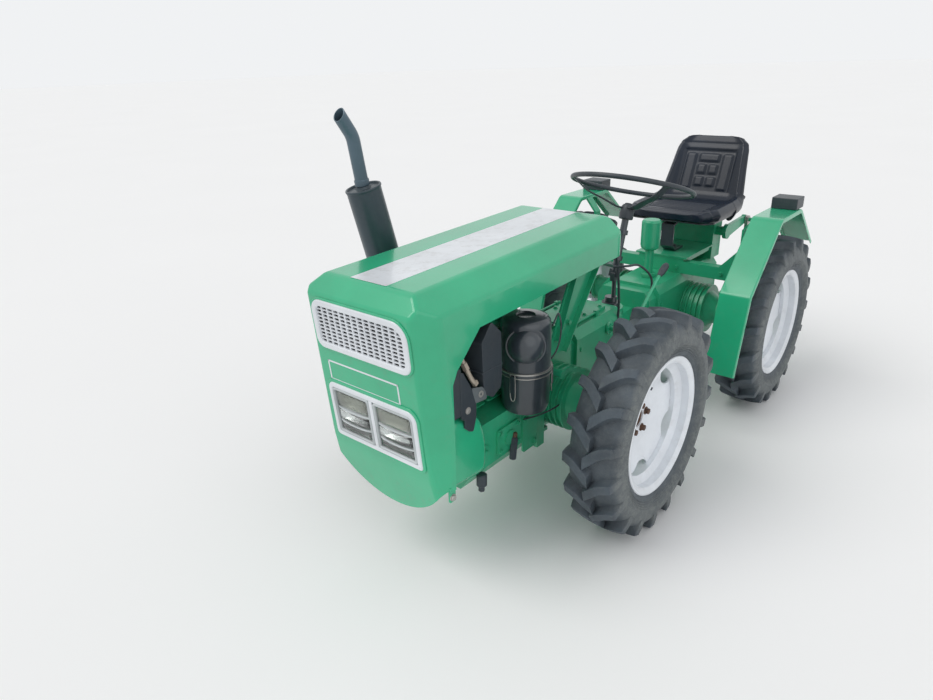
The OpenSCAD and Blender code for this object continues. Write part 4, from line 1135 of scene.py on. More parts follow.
def disc_shape():
    """Dished disc: z rises from the bolt face to the rim along a smooth shoulder, and the rim of
    each notch is turned outwards a little."""
    face = RIM_W / 2 - DISC_DEPTH
    angle = np.linspace(0, 2 * math.pi, 240, endpoint=False)
    share = np.linspace(0, 1, 26)
    edge = disc_edge(angle)
    radius = BORE_R + (edge[:, None] - BORE_R) * share[None, :]
    step = np.clip((radius - 62) / 88, 0, 1)
    dish = face + 21 * (step * step * (3 - 2 * step))
    bead = 2.2 * np.exp(-((radius - 70) / 5) ** 2)
    lip = 5.0 * np.exp(-((1 - share[None, :]) * (edge[:, None] - BORE_R) / 7) ** 2)
    notched = (edge < WELL_R - RIM_T - 3)[:, None]
    z = dish + bead + lip * notched
    outer = np.stack([radius * np.cos(angle)[:, None], radius * np.sin(angle)[:, None], z], -1)
    inner = outer - [0, 0, RIM_T]
    return grid(np.concatenate([outer, inner[:, ::-1]], 1), wrap_u=True, wrap_v=True)


def hub_shape():
    """Hub behind the disc, with its recessed middle"""
    face = RIM_W / 2 - DISC_DEPTH
    back = face - RIM_T
    return revolve([(0, back - 62), (HUB_D * 0.36, back - 62), (HUB_D * 0.36, back - 16),
                    (HUB_D / 2, back - 14), (HUB_D / 2, back), (BORE_R, back), (25, face - 8),
                    (20, face - 12), (0, face - 12)], 40)


def make_wheels():
    """Tyres, and wheels with their hubs, bolts and valves"""
    s = sizes()
    m = MATERIALS
    tyre = tyre_shape()
    rim = revolve(rim_profile(), 120, closed=True)
    face = RIM_W / 2 - DISC_DEPTH
    turn = np.arange(s.bolt_count) * 2 * math.pi / s.bolt_count + math.radians(BOLT_TURN)
    places = np.stack([np.cos(turn) * BOLT_CIRCLE / 2, np.sin(turn) * BOLT_CIRCLE / 2,
                       np.full(s.bolt_count, face)], 1)
    wheel = rim + disc_shape() + hub_shape().painted(1) + total(
        [bolt(at, (0, 0, 1), across=17, height=12, material=1) for at in places])
    valve = (rod((WELL_R - 12, 0, 8), (WELL_R - 26, 0, 34), 8, 12, 2)
             + rod((WELL_R - 26, 0, 34), (WELL_R - 28, 0, 40), 9.5, 12, 2))
    wheel += valve.moved(turn=turn_about("z", 200))
    for label, body, side, place in wheel_places():
        mirrored = (1, side, 1)
        piece = publish(f"tyre_{label}_lugged", stand_wheel(tyre.scaled(mirrored), side, place),
                        [m["tyre"]], body, (f"tyre_{label}",), sharp=40)
        mark_walls(piece, place)
        # The wheels' white carries painted light
        publish(f"wheel_{label}_dished", stand_wheel(wheel.scaled(mirrored), side, place),
                [m["wheel"], m["rust"], m["hose"]], body, (f"wheel_{label}",),
                sharp=30)


class TRACTOR_OT_wheels(bpy.types.Operator):
    """Make the four lugged tyres and the dished wheels"""

    bl_idname = "tractor.wheels"
    bl_label = "Wheels and tyres"

    def execute(self, context):
        make_wheels()
        return {"FINISHED"}


# Hood and nose


# Degrees by which the hood's top falls towards the nose and the nose's face leans back
HOOD_TILT = 1.77
NOSE_LEAN = 5.0
HOOD_W = HOOD_HI[0] - HOOD_LO[0]
HOOD_FLAT = 308.0
HOOD_EDGE = 50.0
HOOD_SIDE = 120.0
HOOD_REAR = HOOD_HI[1]
HOOD_SEAM = 587.0
# Folds at the hood's rear: how far along the tractor they start, and how deep they go down from
# the top and in from the sides. The construction's own fold starts REAR_FACET before the rear.
REAR_FOLD = (26.0, 9.0)
REAR_CORNER = (22.0, 6.0)
REAR_FACET = 34.0
FACE_W = 356.0
CORNER = 60.0
# Where the face's middle lies at the brow and at the chin's fold (below 0 is to the right), and
# how much wider each half is at the fold
FACE_SKEW = (-4.0, -6.0)
FACE_FLARE = 4.0
BROW_BACK = -642.0
BROW_Z = 795.0
FOLD_Z = 380.0
CHIN_Z = 213.0
CHIN_RISE = 84.0
CHIN_TUCK = 34.0
CHEEK_Z = 322.0
# Widths of the folds: round the chin, and where a short edge leaves little room
CHIN_FOLD = 58.0
BROW_FOLD = 12.0
SHORT_EDGE = 30.0
FRAME_T = 7.0
# The grille is wider on each side here than in the construction
GRILLE_OUT = 10.0
GRILLE_TOP = 786.0
# Share of a lattice cell that its hole takes, across and down
HOLE_SHARE = (0.74, 0.68)
LEDGE_T = 3.4
LAMP_GAP = 13.0
PLATE_W, PLATE_H, PLATE_BAND = 252, 53, 4.6
PLATE_PLACE = (-19.0, 587.0)
# A length that reaches past the whole body, for cutters
BEYOND = 1200
TILT = math.tan(math.radians(HOOD_TILT))
LEAN = math.tan(math.radians(NOSE_LEAN))
TOP_AT_REAR = HOOD_HI[2] + REAR_FACET * TILT
FACE_TOP_Y = GRILLE_LO[1] + FRAME_T / math.cos(math.radians(NOSE_LEAN))
# The panes of a headlamp: middle and height as shares of the lamp's height, bulge, bow, and the
# material number of the reflector behind
LAMP_TIERS = (
    (0.265, 0.36, 3.0, 0.0, 1),
    (-0.075, 0.25, 3.5, 5.0, 0),
    (-0.345, 0.19, 2.0, 0.0, 2),
)
SHELF_LEVELS = (0.068, -0.228)


def hood_top(y):
    """Height of the hood's flat top at a place along the tractor"""
    return TOP_AT_REAR + (y - HOOD_REAR) * TILT


def face_y(z):
    """Place of the front face at a height"""
    return FACE_TOP_Y + (GRILLE_TOP - z) * LEAN


def on_face(shape, z):
    """Puts a shape drawn in x and z, with -y outwards, on the leaning face at a height"""
    return shape.moved((0, face_y(z), z), turn_about("x", NOSE_LEAN))


def plane_through(a, b, c):
    """Unit normal and distance of a plane, with the normal away from the body's middle"""
    a, b, c = (np.asarray(p, float) for p in (a, b, c))
    normal = unit(np.cross(b - a, c - a))
    inside = np.array([0.0, -250.0, 560.0])
    if normal @ (inside - a) > 0:
        normal = -normal
    return normal, normal @ a


def plane_across(first, second):
    """Plane that lies straight across the tractor through two places given as y and z"""
    return plane_through((0, *first), (50, *first), (0, *second))


def bonnet_planes():
    """Planes of the sheet metal: top, brow, face, chin, rear, floor and the top's rear fold, and
    on each side the side, the sloping edge, the face's corner and the side's rear fold"""
    w, flat = HOOD_W / 2, HOOD_FLAT / 2
    front, rear = -700.0, HOOD_REAR
    y0, y1 = face_y(BROW_Z), face_y(FOLD_Z)
    planes = [
        plane_across((front, hood_top(front)), (rear, hood_top(rear))),
        plane_across((BROW_BACK, hood_top(BROW_BACK)), (y0, BROW_Z)),
        plane_across((y0, BROW_Z), (y1, FOLD_Z)),
        plane_across((y1, FOLD_Z), (y1 + CHIN_TUCK, CHIN_Z)),
        plane_across((rear, 0), (rear, 50)),
        plane_across((0, 150), (50, 150)),
        plane_across((rear - REAR_FOLD[0], hood_top(rear)), (rear, hood_top(rear) - REAR_FOLD[1])),
    ]
    for s in (1, -1):
        planes += [
            plane_through((s * w, 0, 0), (s * w, 50, 0), (s * w, 0, 50)),
            plane_through((s * flat, front, hood_top(front)), (s * flat, rear, hood_top(rear)),
                          (s * w, rear, hood_top(rear) - HOOD_EDGE)),
            plane_through((s * FACE_W / 2 + FACE_SKEW[0], y0, BROW_Z),
                          (s * FACE_W / 2 + FACE_SKEW[1] + s * FACE_FLARE, y1, FOLD_Z),
                          (s * w, y0 + CORNER, BROW_Z)),
            plane_through((s * w, rear - REAR_CORNER[0], 0), (s * w, rear - REAR_CORNER[0], 50),
                          (s * (w - REAR_CORNER[1]), rear, 0)),
        ]
    return planes


def solid_between(planes):
    """Closed mesh of the space inside all planes: its corners are where three planes meet"""
    normals = np.array([n for n, _ in planes])
    reach = np.array([d for _, d in planes])
    count = len(planes)
    i, j, k = np.array([(a, b, c) for a in range(count) for b in range(a + 1, count)
                        for c in range(b + 1, count)]).T
    systems = np.stack([normals[i], normals[j], normals[k]], 1)
    firm = np.abs(np.linalg.det(systems)) > 1e-4
    right = np.stack([reach[i], reach[j], reach[k]], 1)[firm]
    points = np.linalg.solve(systems[firm], right[..., None])[..., 0]
    points = points[np.all(points @ normals.T <= reach + 1e-3, axis=1)]
    points = np.unique(points.round(2), axis=0)
    work = bmesh.new()
    for point in points:
        work.verts.new(point)
    bmesh.ops.convex_hull(work, input=work.verts)
    bmesh.ops.dissolve_limit(work, angle_limit=0.01, verts=work.verts, edges=work.edges)
    mesh = bpy.data.meshes.new("bonnet")
    work.to_mesh(mesh)
    work.free()
    return mesh


def round_chin(mesh):
    """Gives each edge of the planes' solid its bevel weight, as a share of CHIN_FOLD: the whole
    for the chin's fold, less where a short edge leaves little room, and the user's fold for the
    others"""
    points = read(mesh.vertices, "co")
    ends = read(mesh.edges, "vertices", 2, int)
    middle = points[ends].mean(1)
    span = np.linalg.norm(points[ends][:, 0] - points[ends][:, 1], axis=1)
    cramped = np.isin(ends, ends[span < SHORT_EDGE]).any(1)
    flat = np.abs(points[ends][:, 0, 2] - points[ends][:, 1, 2]) < 2
    chin = flat & (np.abs(middle[:, 2] - FOLD_Z) < 2) & (middle[:, 1] < -600)
    width = np.where(cramped, BROW_FOLD, sizes().hood_fold)
    store(mesh, "bevel_weight_edge", np.where(chin, 1.0, width / CHIN_FOLD), "EDGE")


def temporary(name, shape, materials=1):
    """A cutter in raw millimetres, removed after use"""
    mesh = bpy.data.meshes.new(name)
    mesh.from_pydata(shape.points.tolist(), [], shape.faces)
    mesh.polygons.foreach_set("material_index", shape.materials)
    mesh.update()
    set_outwards(mesh, 1e-4)
    for _ in range(materials):
        mesh.materials.append(None)
    return mesh_object(name, mesh)


def carve(piece, cutter, operation="DIFFERENCE"):
    """Applies one exact Boolean with a cutter and removes the cutter"""
    made = piece.modifiers.new("Cut", "BOOLEAN")
    made.operation = operation
    made.solver = "EXACT"
    made.object = cutter
    apply_modifiers(piece)
    bpy.data.objects.remove(cutter)


def bonnet_keeper():
    """What stays of the planes' solid: above the chin's arc in front, the hood's sides behind.
    Its cut faces carry material 1, so that the sheet can be opened there."""
    r = ((FACE_W / 2) ** 2 + CHIN_RISE ** 2) / (2 * CHIN_RISE)
    x = np.linspace(-HOOD_W / 2 - 40, HOOD_W / 2 + 40, 49)
    arc = CHIN_Z + r - np.sqrt(np.maximum(r * r - x * x, 0.0))
    low = np.minimum(arc, CHEEK_Z)
    outline = np.vstack([np.stack([x, low], 1), [[x[-1], BEYOND], [x[0], BEYOND]]])
    front = prism(outline, HOOD_SEAM, HOOD_SEAM + 300).moved(turn=STANDING)
    rear_low = hood_top(HOOD_REAR) - HOOD_SIDE
    seam_low = hood_top(-HOOD_SEAM) - HOOD_SIDE
    side = side_prism([(-HOOD_SEAM, seam_low), (HOOD_REAR + 20, rear_low),
                       (HOOD_REAR + 20, BEYOND), (-HOOD_SEAM, BEYOND)], -400, 400)
    return front.painted(1), side.painted(1)


def bonnet_sheet():
    """Folded skin of hood and nose: a solid between planes with round edges, opened below and
    behind, given its wall with a darkened green inside that is painted shade, and cut for grille
    and lamps"""
    mesh = solid_between(bonnet_planes())
    mesh.materials.append(None)
    mesh.materials.append(None)
    round_chin(mesh)
    piece = mesh_object("bonnet", mesh)
    folds = piece.modifiers.new("Folds", "BEVEL")
    folds.width = CHIN_FOLD
    folds.segments = 8
    folds.limit_method = "WEIGHT"
    apply_modifiers(piece)
    front, side = bonnet_keeper()
    keeper = temporary("keeper_front", front, 2)
    carve(keeper, temporary("keeper_side", side, 2), "UNION")
    carve(piece, keeper, "INTERSECT")
    work = bmesh.new()
    work.from_mesh(piece.data)
    gone = [f for f in work.faces
            if f.material_index == 1 or f.calc_center_median().y > HOOD_REAR - 1]
    bmesh.ops.delete(work, geom=gone, context="FACES")
    work.to_mesh(piece.data)
    work.free()
    wall = piece.modifiers.new("Wall", "SOLIDIFY")
    wall.thickness = sizes().sheet
    wall.offset = -1.0
    wall.use_even_offset = True
    # Inner faces take material 1, the darkened green inside: painted shade
    wall.material_offset = 1
    apply_modifiers(piece)
    for lo, hi, wider, radius in ((GRILLE_LO, GRILLE_HI, GRILLE_OUT, 17.0),
                                  (LAMP_LO, LAMP_HI, 0.0, 6.0)):
        middle = (lo[2] + hi[2]) / 2
        outline = rectangle(hi[0] - lo[0] + 2 * wider - 20, hi[2] - lo[2] - 20, radius)
        hole = prism(outline, -40, 40).moved(turn=STANDING)
        carve(piece, temporary("hole", on_face(hole, middle)))
    points = in_metres(read(piece.data.vertices, "co"))
    piece.data.vertices.foreach_set("co", points.ravel())
    piece.data.update()
    set_outwards(piece.data)
    return piece


def stripe_shape():
    """White stripe: a film on the hood's flat top"""
    width = sizes().stripe
    y = np.linspace(BROW_BACK + 6, HOOD_REAR - 27, 12)
    lower = np.stack([np.full_like(y, -width / 2), y, hood_top(y) + 0.05], 1)
    upper = lower + [0, 0, 0.4]
    ring = np.stack([lower, lower + [width, 0, 0], upper + [width, 0, 0], upper], 1)
    return grid(ring, wrap_v=True, cap_ends=True)


def band_frame(width, height, radius, band, thick, steps=6):
    """Frame with a rounded band: a D section carried round a rectangle with round corners, one
    radius or four. It lies in x and z, its back at y = 0 and its front towards -y."""
    radii = np.maximum(np.broadcast_to(np.asarray(radius, float), (4,)) - band / 2, 1.0)
    outline = rectangle(width - band, height - band, radii, steps)
    path = np.stack([outline[:, 0], np.zeros(len(outline)), outline[:, 1]], 1)
    b, t = band / 2, thick
    section = rounded([(-b, 0), (b, 0), (b, t), (-b, t)], [0.4, 0.4, t * 0.62, t * 0.62], 6)
    return along(path, section, closed=True, up=(0, -1, 0))


def lattice_shape(width, height, columns, rows):
    """Plate with oblong holes: each cell is a ring of quads from its border to its hole's
    rounded outline, in front and behind, with the hole's walls between"""
    step_x, step_z = width / columns, height / rows
    hole = rectangle(step_x * HOLE_SHARE[0], step_z * HOLE_SHARE[1], 1.5, 2)
    angle = np.arctan2(hole[:, 1] / step_z, hole[:, 0] / step_x)
    reach = np.maximum(np.abs(np.cos(angle)), np.abs(np.sin(angle)))
    border = np.stack([np.cos(angle) / reach * step_x / 2, np.sin(angle) / reach * step_z / 2], 1)
    corner = np.argsort(np.abs(np.abs(np.cos(angle)) - np.abs(np.sin(angle))))[:4]
    border[corner] = np.sign(border[corner]) * [step_x / 2, step_z / 2]
    bowed = hole * 0.5 + border * 0.5
    rings = [(border, 0.9), (bowed, 0.0), (hole, 0.9), (hole, 5.0), (border, 5.0)]
    cell = np.stack([np.stack([p[:, 0], np.full(len(p), y), p[:, 1]], 1) for p, y in rings])
    one = grid(cell, wrap_v=True)
    x = (np.arange(columns) + 0.5) * step_x - width / 2
    z = (np.arange(rows) + 0.5) * step_z - height / 2
    return total([one.moved((a, 0, b)) for a in x for b in z])


def pillow(width, height, out, power=6.0, bow=0.0, back=2.0):
    """Domed cap in x and z that bulges towards -y. Its outline is the superellipse
    |x / a|^n + |z / b|^n = 1. Rings of it shrink to the middle by the share s, and the front
    stands out by out (1 - s^8) + bow (1 - (x / a)^2)."""
    angle = np.arange(48) * 2 * math.pi / 48
    c, s = np.cos(angle), np.sin(angle)
    outline = np.stack([np.sign(c) * np.abs(c) ** (2 / power) * width / 2,
                        np.sign(s) * np.abs(s) ** (2 / power) * height / 2], 1)
    shares = np.array([0.02, 1.0, 1.0, 0.975, 0.93, 0.86, 0.7, 0.4, 0.02])
    x = outline[None, :, 0] * shares[:, None]
    z = outline[None, :, 1] * shares[:, None]
    y = -out * (1 - shares[:, None] ** 8) - bow * (1 - (x / (width / 2)) ** 2)
    y[:2] = back
    return grid(np.stack([x, y, z], -1), wrap_v=True, cap_ends=True)


def lamp_unit(width, height):
    """One headlamp in x and z with -y outwards: a clear bezel, three clear panes one above the
    other with shelves between, and behind each pane a hollow with its own reflector"""
    clear = band_frame(width, height, 11, 8.5, 8.5, 5).painted(1)
    hollows = Shape()
    for middle, share, out, bow, kind in LAMP_TIERS:
        high = height * share
        pane = pillow(width - 20, high - 2, out, bow=bow, back=1.5)
        clear += pane.moved((0, -2.5, middle * height))
        x, z = np.meshgrid(np.linspace(-1, 1, 25), np.linspace(-1, 1, 13), indexing="ij")
        depth = 8 + 14 * (1 - np.abs(x) ** 3) * (1 - z ** 2)
        dish = np.stack([x * (width / 2 - 6), depth, z * high / 2], -1)
        both = np.concatenate([dish, (dish + [0, 2.0, 0])[:, ::-1]], 1)
        hollows += grid(both, wrap_v=True, cap_ends=True).moved(
            (0, 0, middle * height)).painted(kind)
    for level in SHELF_LEVELS:
        shelf = pillow(width - 13, 6.5, 3.5, power=4, bow=5.0, back=4)
        clear += shelf.moved((0, -1.5, level * height)).painted(1)
    return clear, hollows


def make_bonnet():
    """Hood and nose as one folded sheet, and the stripe on it"""
    m = MATERIALS
    piece = bonnet_sheet()
    shade(piece, 30)
    mark_edges(piece)
    # Material 1, the darkened green inside, is painted shade on the sheet's inner faces
    dress(piece, [m["green"], m["inside"]], "front", ("hood", "nose_shell"))
    publish("hood_stripe", stripe_shape(), [m["white"]], "front")


def make_face_frames():
    """Grille and lamp frame with their white bands, and the green ledges round them"""
    s = sizes()
    m = MATERIALS
    ledge = Shape()
    wider = np.array([GRILLE_OUT, 0, 0])
    for node, lo, hi, radius, band, apart in (
            ("grille", GRILLE_LO - wider, GRILLE_HI + wider, (27, 30, 46, 34), 18.0, 11.0),
            ("lamp_frame", LAMP_LO, LAMP_HI, (14, 8, 28, 20), 15.0, 17.0)):
        middle = (lo[2] + hi[2]) / 2
        high = (hi[2] - lo[2]) / math.cos(math.radians(NOSE_LEAN)) - 1.0
        shape = band_frame(hi[0] - lo[0], high, radius, band, FRAME_T)
        rim = np.array(radius) + apart / 2
        surround = band_frame(hi[0] - lo[0] + apart, high + apart, rim, apart - 3, LEDGE_T)
        ledge += on_face(surround, middle)
        if node == "grille":
            inner = lattice_shape(hi[0] - lo[0] - 2 * band + 4, high - 2 * band + 4,
                                  s.lattice_columns, s.lattice_rows)
            # A near-black sheet behind the lattice, material 1: painted shade that darkens the
            # holes
            painted_shade_sheet = block((lo[0] + 6, 12, 6 - high / 2), (hi[0] - 6, 13.5, high / 2 - 6), 1)
            shape += inner.moved((0, -3.5, 0)) + painted_shade_sheet
        else:
            post = prism(rectangle(11, high - 20, 3), -2, 6.0).moved(turn=STANDING)
            shape += post
        publish(node + "_moulded", on_face(shape, middle), [m["white"], m["dark"]], "front",
                (node,), sharp=40)
    publish("nose_ledges", ledge, [m["green"]], "front", sharp=40)


def make_headlamps():
    """The two headlamps side by side in their frame"""
    m = MATERIALS
    wide = (LAMP_HI[0] - LAMP_LO[0] - 3 * LAMP_GAP) / 2
    high = LAMP_HI[2] - LAMP_LO[2] - 28
    middle = (LAMP_HI[2] + LAMP_LO[2]) / 2
    clear, hollows = lamp_unit(wide, high)
    places = [(sign * (wide + LAMP_GAP) / 2, 0, 0) for sign in (1, -1)]
    lenses = total([clear.moved(place) for place in places])
    mirrors = total([hollows.moved(place) for place in places])
    publish("headlamp_reflectors", on_face(mirrors, middle), [m["mirror"], m["smoke"], m["shade"]],
            "front", ("headlamps",))
    publish("headlamp_lenses", on_face(lenses, middle), [m["glass"], m["frost"]], "front")


def make_plate():
    """White outline of the plate between grille and lamps; the plate itself stays blank"""
    outline = rectangle(PLATE_W, PLATE_H)
    path = np.stack([outline[:, 0], np.zeros(4), outline[:, 1]], 1)
    half = PLATE_BAND / 2
    bars = Shape()
    for a, b in zip(path, np.roll(path, -1, 0)):
        lo, hi = np.minimum(a, b), np.maximum(a, b)
        bars += block(lo - [half, 0.6, half], hi + [half, 0.1, half])
    x, z = PLATE_PLACE
    publish("nose_plate_outline", on_face(bars.moved((x, 0, 0)), z), [MATERIALS["white"]],
            "front")


class TRACTOR_OT_bonnet(bpy.types.Operator):
    """Make the hood, nose, grille, headlamps and stripe"""

    bl_idname = "tractor.bonnet"
    bl_label = "Hood and nose"

    def execute(self, context):
        make_bonnet()
        make_face_frames()
        make_headlamps()
        make_plate()
        return {"FINISHED"}


# Exhaust, air cleaner and the fan's side


MUFFLER_D = 98.0
MUFFLER_L = 306.0
MUFFLER_LOW = (-265.0, -314.0, 700.0)
# Degrees that the muffler leans about x and y, and the pipe on it
MUFFLER_LEAN = (("x", 11.7), ("y", -4))
PIPE_LEAN = (("x", -3), ("y", 4))
PIPE_D = 37.0
PIPE_WALL = 2.4
# The pipe goes straight up, bends forwards by PIPE_BEND degrees and ends in a slanting cut
PIPE_STRAIGHT = 118.0
PIPE_BEND = 26.0
PIPE_BEND_R = 70.0
PIPE_LAST = 54.0
PIPE_CUT = 16.0
CLEANER_X, CLEANER_Y = 165.0, -231.0
CLEANER_R = 71.0
# How far bowl and top lie below the construction's, as the photograph shows them
CLEANER_LOW, CLEANER_TOP = 24, 13
# Height of the clamp ring above the bowl's floor, and of the dome's middle
CLAMP_Z = 132.0
DOME_Z = 214.0
DOME_TURN = -54.0
CLIP_TURNS = (-83, 40, 170)
SHROUD_X = 203.0
STRAP_X = (203.0, 208.0)


def frame_at(place, turns):
    """Function that turns a shape drawn at the origin about the axes in order and then moves it
    to a place"""
    turn = np.eye(3)
    for axis, degrees in turns:
        turn = turn_about(axis, degrees) @ turn
    return lambda shape: shape.moved(place, turn)


def flat_direction(degrees):
    """Level unit vector at an angle from +x towards +y"""
    return unit((math.cos(math.radians(degrees)), math.sin(math.radians(degrees)), 0))


def make_exhaust():
    """Muffler with its rolled rim and recessed top, and the bent pipe above it"""
    m = MATERIALS
    r, h = MUFFLER_D / 2, MUFFLER_L
    stand = frame_at(MUFFLER_LOW, MUFFLER_LEAN)
    shell = revolve([(0, 0), (r - 10, 0), (r - 3, 3), (r, 9), (r, h - 9), (r + 2.2, h - 6),
                     (r + 2.6, h - 3), (r + 1.4, h - 0.6), (r - 2.5, h), (r - 4.2, h - 2.0),
                     (r - 5, h - 5), (r - 10, h - 5.6), (28, h - 4.4), (23, h - 3.6),
                     (PIPE_D / 2 + 3.0, h - 1.4), (PIPE_D / 2 + 1.6, h + 2.6),
                     (PIPE_D / 2, h + 3.4), (0, h + 3.4)], 64)
    y = MUFFLER_LOW[1]
    inlet = pipe([(-86, y, 668), (-150, y, 676), (-222, y, 690), (-258, y + 1, 718)], PIPE_D)
    flange = rod((-85.6, y, 668), (-96, y, 669), 62, 32, cham=1.5)
    publish("muffler_shell", stand(shell) + inlet + flange, [m["muffler"]], "front",
            ("muffler",), sharp=38)

    angle = np.radians(np.linspace(0, PIPE_BEND, 9))
    arc = np.stack([np.zeros(9), -PIPE_BEND_R * (1 - np.cos(angle)),
                    PIPE_STRAIGHT + PIPE_BEND_R * np.sin(angle)], 1)
    tip = np.array([0, -math.sin(angle[-1]), math.cos(angle[-1])])
    last = arc[-1] + PIPE_LAST * tip
    path = np.vstack([[0, 0, 0], [0, 0, PIPE_STRAIGHT * 0.5], arc, arc[-1] * 0.4 + last * 0.6,
                      last])
    sides = 28
    outer, inner = (along(path, circle(radius, sides), up=(1, 0, 0)).points.reshape(-1, sides, 3)
                    for radius in (PIPE_D / 2, PIPE_D / 2 - PIPE_WALL))
    slant = np.clip((outer[-1][:, 1] - outer[-1][:, 1].mean()) / PIPE_D, -0.5, 0.5)
    for ring in (outer[-1], inner[-1]):
        ring += slant[:, None] * PIPE_CUT * tip
    whole = grid(np.concatenate([outer, inner[::-1]]), wrap_u=True, wrap_v=True)
    collar = revolve([(PIPE_D / 2 - 1, 2), (PIPE_D / 2 + 2.4, 2), (PIPE_D / 2 + 2.4, 16),
                      (PIPE_D / 2 + 0.4, 19), (PIPE_D / 2 - 1, 19)], 40, closed=True)
    top = frame_at((0, 0, MUFFLER_L + 3.3), PIPE_LEAN)
    publish("exhaust_pipe_bent", stand(top(whole + collar)), [m["pipe"]], "front",
            ("exhaust_pipe",), sharp=40)


def make_air_cleaner():
    """Oil-bath air cleaner: dished top, side dome, clamp rings, bowl and bail clips, with the
    wire loop and the hose beside it"""
    m = MATERIALS
    lo, hi = extent("air_cleaner")
    x, y, z0 = CLEANER_X, CLEANER_Y, lo[2] - CLEANER_LOW
    r, h = CLEANER_R, hi[2] - CLEANER_TOP - z0
    ring = CLAMP_Z
    body = revolve([(0, 2), (r - 22, 1), (r - 9, 6), (r - 3, 22), (r - 2, 60), (r - 2, ring - 16),
                    (r + 0.5, ring - 14), (r + 1.4, ring - 8), (r + 0.5, ring - 3),
                    (r - 0.6, ring), (r - 0.6, ring + 12), (r - 0.2, h - 26), (r - 2.5, h - 14),
                    (r - 9, h - 6), (r - 20, h - 2.5), (30, h - 0.6), (27, h), (24, h - 4.6),
                    (8, h - 5.4), (0, h - 5.4)], 72)
    body = body.moved((x, y, z0))
    aim = flat_direction(DOME_TURN)
    dome = revolve([(0, 31), (14, 29.5), (28, 24.5), (39, 16), (46, 6), (48, -2), (50, -4.4),
                    (54, -4.4), (56, -7), (56, -12), (50, -34), (0, -34)][::-1], 56)
    dome = dome.moved(np.array([x, y, z0 + DOME_Z]) + aim * (r - 3), basis(aim))
    bands = Shape()
    for low, out, tall in ((ring - 1, 4.6, 4.2), (ring - 13, 2.8, 2.4)):
        made = revolve([(r - 1, 0), (r + out, 0), (r + out, tall), (r - 1, tall)], 72, closed=True)
        bands += made.moved((x, y, z0 + low)).painted(1)
    clips = Shape()
    for degrees in CLIP_TURNS:
        out = flat_direction(degrees)
        side = np.array([-out[1], out[0], 0])
        at = np.array([x, y, z0]) + out * (r + 2)
        loop = [at + side * a + (0, 0, b) for a, b in
                ((-7, ring), (-8, 96), (-7, 62), (0, 50), (7, 62), (8, 96), (7, ring))]
        clips += pipe(loop, 2.6, 4, 8, material=1)
        upright = np.stack([side, out, np.array([0, 0, 1.0])], 1)
        clips += block((-6, -2, 76), (6, 4, ring - 6)).moved(at, upright)
    arm = block((85.3, y - 28, lo[2] + 62), (x - 40, y + 28, lo[2] + 178))
    # The wire loop stands out on the side that the camera sees at the right
    away = np.array([0.755, 0.655, 0.0])
    rim = np.array([x, y, 0]) + away * r
    wire_loop = [rim + away * out + (0, 0, up) for out, up in
                 ((-14, 618), (2, 640), (16, 672), (21, 668), (26, 640), (24, 600), (14, 564),
                  (0, 540))]
    clips += pipe(wire_loop, 4.6, 5, 10)
    feed = [(x + 10, y + 20, z0 + 6), (x + 4, y + 16, z0 - 22), (156, -190, 380), (154, -160, 356)]
    clips += pipe(feed, 9.0, 5, 12)
    publish("air_cleaner_canister", body + dome + bands + clips + arm, [m["black"], m["steel"]],
            "front", ("air_cleaner",), sharp=35)


def make_air_duct():
    """Moulded air duct with the seam round its middle"""
    outline = [(-472, 680), (-433, 724), (-394, 685), (-392, 574), (-397, 535), (-431, 518),
               (-467, 539)]
    duct = side_prism(rounded(outline, 6, 3), 133, 207)
    seam = side_prism(rounded([(-473.5, 596), (-390.5, 596), (-390.5, 600), (-473.5, 600)], 1, 2),
                      131.5, 208.5)
    publish("air_duct_moulded", duct + seam, [MATERIALS["plastic"]], "front",
            ("air_duct",), edge=3, edge_steps=3)


